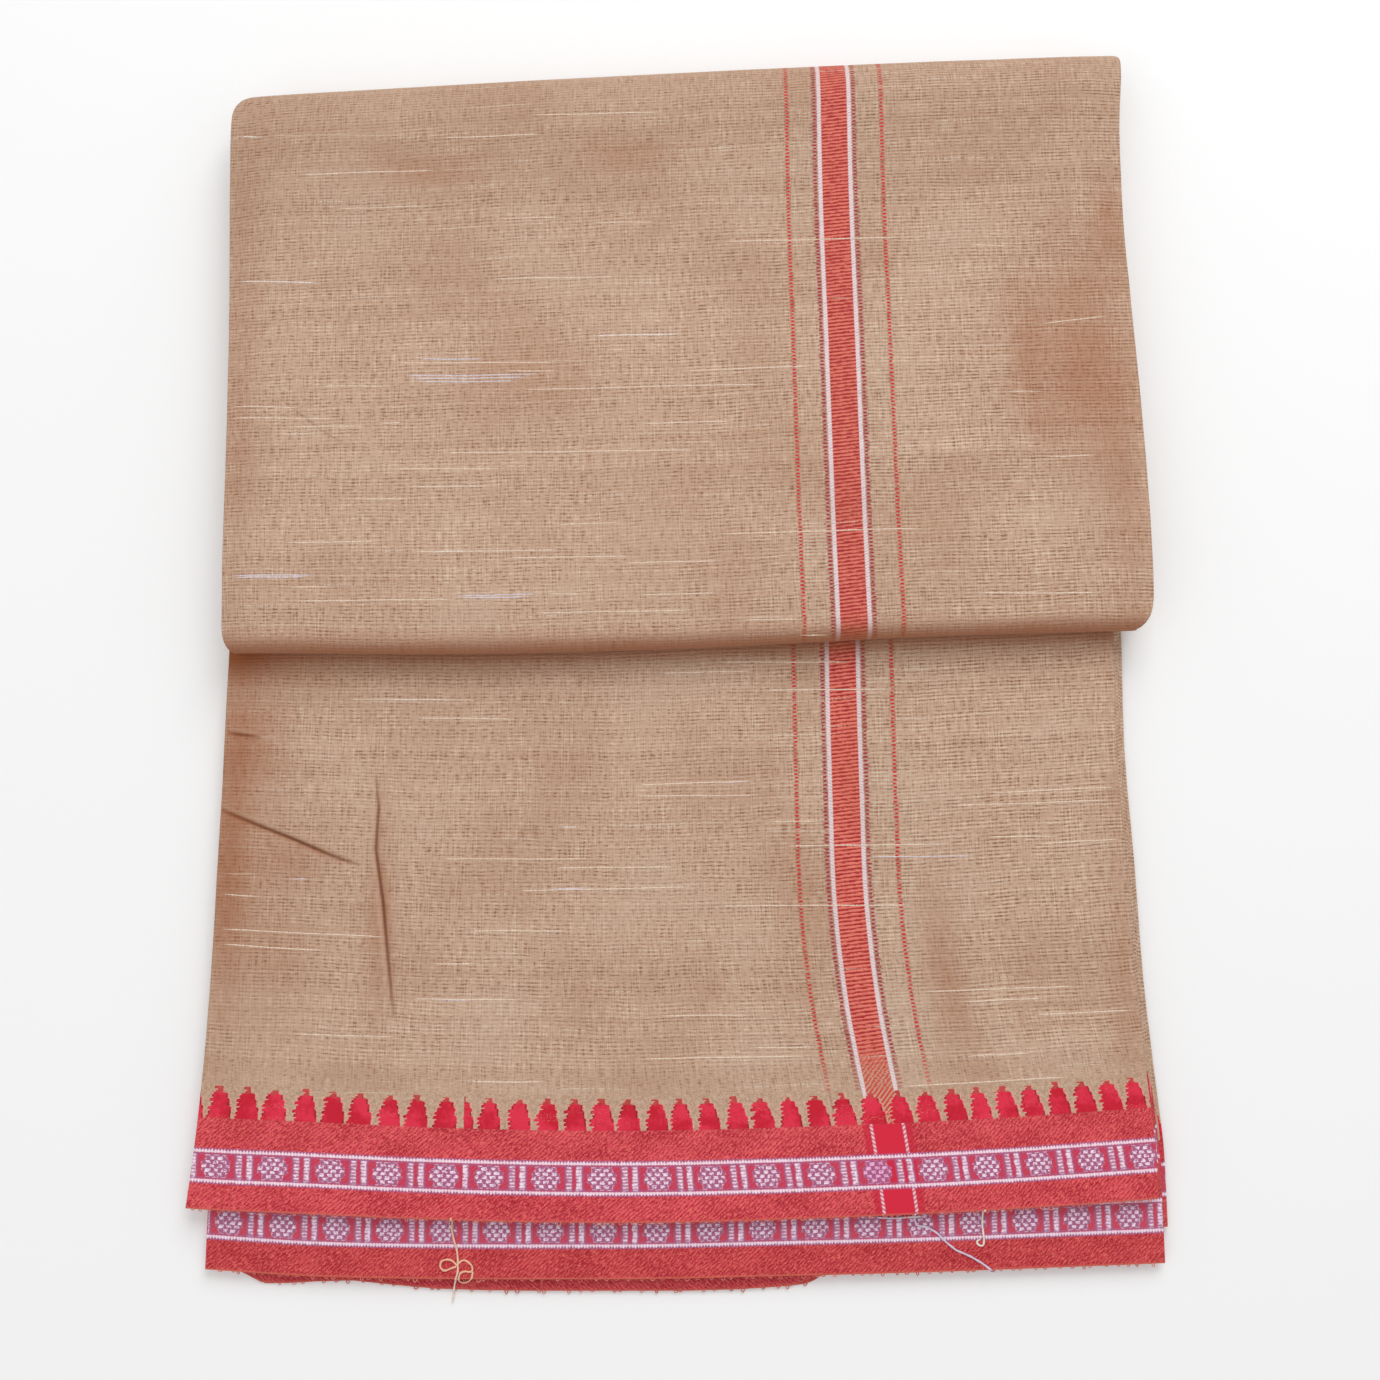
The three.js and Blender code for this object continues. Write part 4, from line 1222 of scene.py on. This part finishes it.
LOWER_SLUBS = (
    (344, 480, 699, 700), (372, 458, 699, 700, "white"), (411, 517, 718, 719),
    (220, 261, 874, 874, "faint"), (220, 263, 894, 897), (285, 313, 879, 879, "bluish"),
    (220, 385, 929, 937), (220, 324, 944, 951), (439, 593, 859, 859), (515, 695, 891, 887),
    (547, 593, 889, 888, "bluish"), (463, 571, 931, 931), (428, 482, 964, 964), (656, 753, 673, 671),
    (716, 850, 662, 662), (758, 896, 690, 689), (632, 755, 785, 781), (719, 755, 783, 781, "bluish"),
    (632, 760, 796, 795), (766, 827, 798, 798, "faint"), (764, 825, 822, 821),
    (554, 586, 827, 827, "white"), (784, 952, 846, 844), (552, 677, 868, 867), (714, 913, 906, 905),
    (868, 919, 774, 774, "faint"), (989, 1125, 793, 787), (949, 1112, 806, 800), (983, 1062, 837, 836),
    (1034, 1129, 844, 839), (868, 977, 857, 856, "bluish"), (920, 1078, 992, 986),
    (958, 1048, 1002, 998), (1031, 1137, 1015, 1010), (966, 1034, 1056, 1053),
    (1070, 1109, 1066, 1064, "faint"), (899, 1070, 1087, 1077), (409, 524, 999, 1000),
    (432, 480, 1000, 1000, "bluish"), (297, 326, 1015, 1015, "faint"), (289, 399, 1034, 1037),
    (465, 549, 1082, 1082), (330, 404, 1093, 1093, "faint"), (657, 751, 1016, 1015),
    (781, 804, 1006, 1006, "faint"), (747, 820, 1048, 1047), (639, 811, 1059, 1056),
)


def seen_at(column, row, height_at):
    """The point of a surface that is seen at a pixel of the view."""
    sight = Vector((column - VIEW_PIXELS / 2, 0, 0)) - view_up * (row - VIEW_PIXELS / 2)
    sight -= view_back * VIEW_FOCUS
    height = STACK
    for _ in range(5):
        point = view_place + sight * ((height - view_place.z) / sight.z)
        height = float(height_at(point.x, point.y))
    return point


def upper_face(x, y):
    """Height of the folded-over part's face, from its front fold to its top bend."""
    fold = front_fold(x)
    bend = top_bend(x)
    level = np.clip(y, fold + ROLL_DEPTH, bend - BEND_DEPTH)
    high = upper_height(x, level, FLAP_LOFT) + relief(UPPER_CREASES, x, level)
    low = upper_height(x, level, 0)
    down = np.clip((fold + ROLL_DEPTH - y) / ROLL_DEPTH, 0, 1)
    over = np.clip((y - bend + BEND_DEPTH) / BEND_DEPTH, 0, 1)
    at_fold = (low + high) / 2 + (high - low) / 2 * np.sqrt(1 - down * down)
    at_bend = BEND_WAIST + (high - BEND_WAIST) * np.sqrt(1 - over * over)
    return np.where(down > 0, at_fold, at_bend)


def lower_face(x, y):
    return lower_height(x, y, front_level) + relief(LOWER_CREASES, x, y)


def spun(name, threads, sides):
    """Threads as one mesh of closed tubes. Each thread has its points, thicknesses and colours."""
    corners, faces, colours = [], [], []
    first = 0
    for points, thick, tints in threads:
        ahead = np.gradient(points, axis=0)
        ahead /= np.linalg.norm(ahead, axis=1, keepdims=True)
        side = np.cross(ahead, (0, 0, 1))
        side /= np.linalg.norm(side, axis=1, keepdims=True)
        up = np.cross(side, ahead)
        turn = (np.arange(sides) * 2 * math.pi / sides)[None, :, None]
        rings = side[:, None] * np.cos(turn) + up[:, None] * np.sin(turn)
        corners.append((points[:, None] + rings * thick[:, None, None]).reshape(-1, 3))
        colours.append(np.repeat(tints, sides, axis=0))
        i, j = np.meshgrid(np.arange(len(points) - 1), np.arange(sides), indexing="ij")
        k = (j + 1) % sides
        quads = np.stack((i * sides + j, (i + 1) * sides + j, (i + 1) * sides + k, i * sides + k), -1)
        last = first + (len(points) - 1) * sides
        faces += (quads.reshape(-1, 4) + first).tolist()
        faces += [list(range(first, first + sides)), list(range(last + sides - 1, last - 1, -1))]
        first = last + sides
    mesh = bpy.data.meshes.new(name)
    mesh.from_pydata((np.concatenate(corners) * MM + np.array(shift)).tolist(), [], faces)
    colour = mesh.attributes.new("yarn", "FLOAT_COLOR", "POINT")
    colour.data.foreach_set("color", np.concatenate(colours).reshape(-1))
    mesh.shade_smooth()
    yarns = bpy.data.objects.new(name, mesh)
    bpy.context.scene.collection.objects.link(yarns)
    return yarns


def yarn_cotton(name):
    """Soft cotton yarn in the colour of each of its points, a little uneven."""
    material = bpy.data.materials.new(name)
    material.use_nodes = True
    tree = Reading.tree = material.node_tree
    tint = tree.nodes.new("ShaderNodeAttribute")
    tint.attribute_name = "yarn"
    where = tree.nodes.new("ShaderNodeTexCoord")
    uneven = tree.nodes.new("ShaderNodeTexNoise")
    uneven.inputs["Scale"].default_value = 1400
    tree.links.new(where.outputs["Object"], uneven.inputs["Vector"])
    shadow = rising(Reading(uneven.outputs[0]), 0.45, 0.75)
    colour = mixed(Reading(tint.outputs["Color"]), paint(196, 156, 134), 0.3 * shadow)
    shader = tree.nodes["Principled BSDF"]
    plug(colour, shader.inputs["Base Color"])
    shader.inputs["Roughness"].default_value = 0.85
    shader.inputs["Specular IOR Level"].default_value = 0.25
    shader.inputs["Sheen Weight"].default_value = 0.2
    return material


chances = np.random.default_rng(31)


def slub(face, sides, left, right, left_row, right_row, tint="cream"):
    """One slub over a face, from its left end to its right one, which stay between the side folds."""
    start = seen_at(left, left_row, face)
    end = seen_at(right, right_row, face)
    start.x = max(start.x, float(sides(start.y)[0]) + SLUB_INSIDE)
    end.x = min(end.x, float(sides(end.y)[1]) - SLUB_INSIDE)
    steps = max(6, int((end - start).length / SLUB_STEP))
    t = np.linspace(0, 1, steps + 1)
    x = blend(start.x, end.x, t)
    y = blend(start.y, end.y, t) + 0.05 * np.sin(9 * t + left)
    strength = np.clip(np.minimum(t, 1 - t) * steps / SLUB_TAPER, 0, 1)
    uneven = chances.uniform(0.6, 1.0, steps + 1)
    bead = np.where(np.arange(steps + 1) % 2, 1.0, 0.66)
    thick = SLUB_THICK * bead * (0.5 + 0.5 * strength) * blend(1, uneven, 0.5)
    if tint == "faint":
        thick = thick * 0.75
    tints = blend(np.array(TINTS["beige"]), np.array(TINTS[tint]), (strength * uneven)[:, None])
    return np.stack((x, y, face(x, y) - SLUB_SUNK), -1), thick, tints


slubs = [slub(upper_face, upper_edges, *row) for row in UPPER_SLUBS]
slubs += [slub(lower_face, lower_edges, *row) for row in LOWER_SLUBS]
slub_yarns = spun("slub_yarns", slubs, 4)
slub_yarns.data.materials.append(yarn_cotton("slub_yarn"))
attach(slub_yarns, "root")

# ---- The loops along the selvedges -------------------------------------------------------------------
# Where the weft turns back at each selvedge it stands out in small red loops, some longer than others.
LEAVES_SEEN = (  # each selvedge and the height of its leaf's face, from the uppermost down
    (front_selvedge, lambda x, y: lower_height(x, y, front_level)),
    (second_selvedge, lambda x, y: lower_height(x, y, second_level) + LEAF),
    (back_selvedge, lambda x, y: LEAF),
)
LOOPS = (  # how far under that face, as a share of the leaf, then from, to, and how many
    (0.3, -175.5, 162.5, 127),
    (0.4, -168, 165, 81),
    (0.4, -149, 44, 36),
)
LOOP_INSIDE = 0.25  # how far a loop's ends lie inside the selvedge
loops = []
for (selvedge, height_at), (under, first_at, last_at, count) in zip(LEAVES_SEEN, LOOPS):
    gap_between = (last_at - first_at) / count
    for number in range(count):
        middle = first_at + gap_between * (number + chances.uniform(0.15, 0.85))
        half = chances.uniform(0.32, 0.7)
        out = chances.uniform(0.3, 0.65) + 0.5 * (chances.random() < 0.2)
        lean = chances.uniform(-0.3, 0.3)
        x = middle + half * np.array((-1, -0.8, 0, 0.8, 1)) + lean * np.array((0, 0.5, 1, 0.5, 0))
        y = selvedge(x) + np.array((LOOP_INSIDE, -0.65 * out, -out, -0.65 * out, LOOP_INSIDE))
        z = height_at(x, selvedge(x)) - under * LEAF + chances.uniform(-0.12, 0.12) + np.zeros(len(x))
        tint = blend(np.array(paint(206, 66, 66)), np.array(paint(244, 146, 128)), chances.random())
        thick = np.full(len(x), chances.uniform(0.17, 0.25))
        loops.append((np.stack((x, y, z), -1), thick, np.tile(tint, (len(x), 1))))
selvedge_loops = spun("selvedge_loops", loops, 3)
selvedge_loops.data.materials.append(yarn_cotton("loop_yarn"))
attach(selvedge_loops, "root")

# ---- The loose yarn ends -----------------------------------------------------------------------------
# Ends of weft yarn that hang out at the selvedges, uncut, and lie over the borders and on the surface.
YARN_THICK = 0.36
YARN_STEP = 0.35  # between two points of a loose end
PEACH = paint(252, 198, 164)
PALE = paint(248, 238, 228)
LILAC = paint(226, 214, 238)
LOOSE_ENDS = (  # places in the view along each, its colour at its start and at its end
    (((451, 1217), (452, 1230), (454, 1240), (457, 1249), (458, 1260), (458, 1272), (455, 1283),
      (454, 1292), (453, 1302)), PEACH, PALE),
    (((457, 1266), (452, 1268), (444, 1271), (440, 1267), (441, 1261), (447, 1259), (452, 1260),
      (458, 1266)), PEACH, PEACH),
    (((458, 1264), (462, 1260), (466, 1260), (471, 1264), (473, 1268), (472, 1272), (464, 1271),
      (460, 1273), (459, 1280), (463, 1283), (469, 1281), (472, 1278), (473, 1271)), PEACH, PEACH),
    (((915, 1213), (916, 1225), (927, 1227), (936, 1232), (946, 1242), (956, 1250), (970, 1256),
      (982, 1263), (995, 1272)), LILAC, LILAC),
    (((985, 1210), (982, 1224), (984, 1241), (983, 1246), (978, 1245), (976, 1241), (980, 1239)),
     PALE, PALE),
    (((877, 1217), (892, 1218), (906, 1217), (921, 1216)), LILAC, PALE),
)


def open_height(x, y):
    """Height of the uppermost thing at a place near the selvedges."""
    height = 0
    for selvedge, height_at in reversed(LEAVES_SEEN):
        height = np.where(y > selvedge(x), height_at(x, y), height)
    return height


def lies_at(column, row):
    """The point seen at a pixel near the selvedges, on the uppermost leaf that is there."""
    for selvedge, height_at in LEAVES_SEEN:
        point = seen_at(column, row, height_at)
        if point.y > selvedge(point.x):
            return point
    return seen_at(column, row, lambda x, y: 0)


def evened(line, reach):
    """A line's values, each blended softly with those up to reach places from it."""
    weights = np.hanning(2 * reach + 3)[1:-1]
    return np.convolve(np.pad(line, reach, mode="edge"), weights / weights.sum(), "valid")


def loose_end(pixels, start_tint, end_tint):
    """A loose end as a thread, evened out between its places and laid over what is under it."""
    stops = np.array([lies_at(*pixel)[:2] for pixel in pixels])
    passed = np.concatenate(([0], np.cumsum(np.hypot(*np.diff(stops, axis=0).T))))
    t = np.linspace(0, passed[-1], int(passed[-1] / YARN_STEP) + 2)
    x, y = (evened(np.interp(t, passed, line), 3) for line in stops.T)
    under = open_height(x, y)
    z = np.maximum(evened(under, 6), under) + YARN_THICK
    tints = blend(np.array(start_tint), np.array(end_tint), (t / t[-1])[:, None] ** 2)
    thick = YARN_THICK * (1 + 0.12 * np.sin(1.7 * t))
    return np.stack((x, y, z), -1), thick, tints


loose_yarn_ends = spun("loose_yarn_ends", [loose_end(*row) for row in LOOSE_ENDS], 4)
loose_yarn_ends.data.materials.append(yarn_cotton("loose_yarn"))
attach(loose_yarn_ends, "root")

# ---- The room ----------------------------------------------------------------------------------------
# A plain pale floor, soft light from the far side, a little from the right, and a weaker one from the
# near left.
FLOOR_UNDER = 0.4 * MM  # a little under the cloth, so that their faces don't meet
bpy.ops.mesh.primitive_plane_add(size=6, location=(0, 0, -FLOOR_UNDER))
floor = bpy.context.object
floor.name = "floor"
floor_finish = bpy.data.materials.new("pale_floor")
floor_finish.use_nodes = True
floor_shader = floor_finish.node_tree.nodes["Principled BSDF"]
floor_shader.inputs["Base Color"].default_value = (0.99, 0.99, 0.99, 1)
floor_shader.inputs["Roughness"].default_value = 0.9
floor_shader.inputs["Specular IOR Level"].default_value = 0.1
floor.data.materials.append(floor_finish)

LIGHTS = (  # name, place, size, watts
    ("far_light", (0.35, 1.15, 1.15), 1.1, 13.5),
    ("near_light", (-0.7, -0.9, 1.5), 1.8, 6.0),
)
for name, at, size, watts in LIGHTS:
    lamp_data = bpy.data.lights.new(name, "AREA")
    lamp_data.shape = "SQUARE"
    lamp_data.size = size
    lamp_data.energy = watts
    lamp = bpy.data.objects.new(name, lamp_data)
    lamp.location = at
    lamp.rotation_euler = (Vector((0, 0, 0)) - Vector(at)).to_track_quat("-Z", "Y").to_euler()
    bpy.context.scene.collection.objects.link(lamp)
world = bpy.data.worlds.new("soft_room")
world.use_nodes = True
world.node_tree.nodes["Background"].inputs["Color"].default_value = (1, 1, 1, 1)
world.node_tree.nodes["Background"].inputs["Strength"].default_value = 0.55
bpy.context.scene.world = world
bpy.context.scene.view_settings.view_transform = "Standard"
bpy.context.scene.view_settings.look = "None"
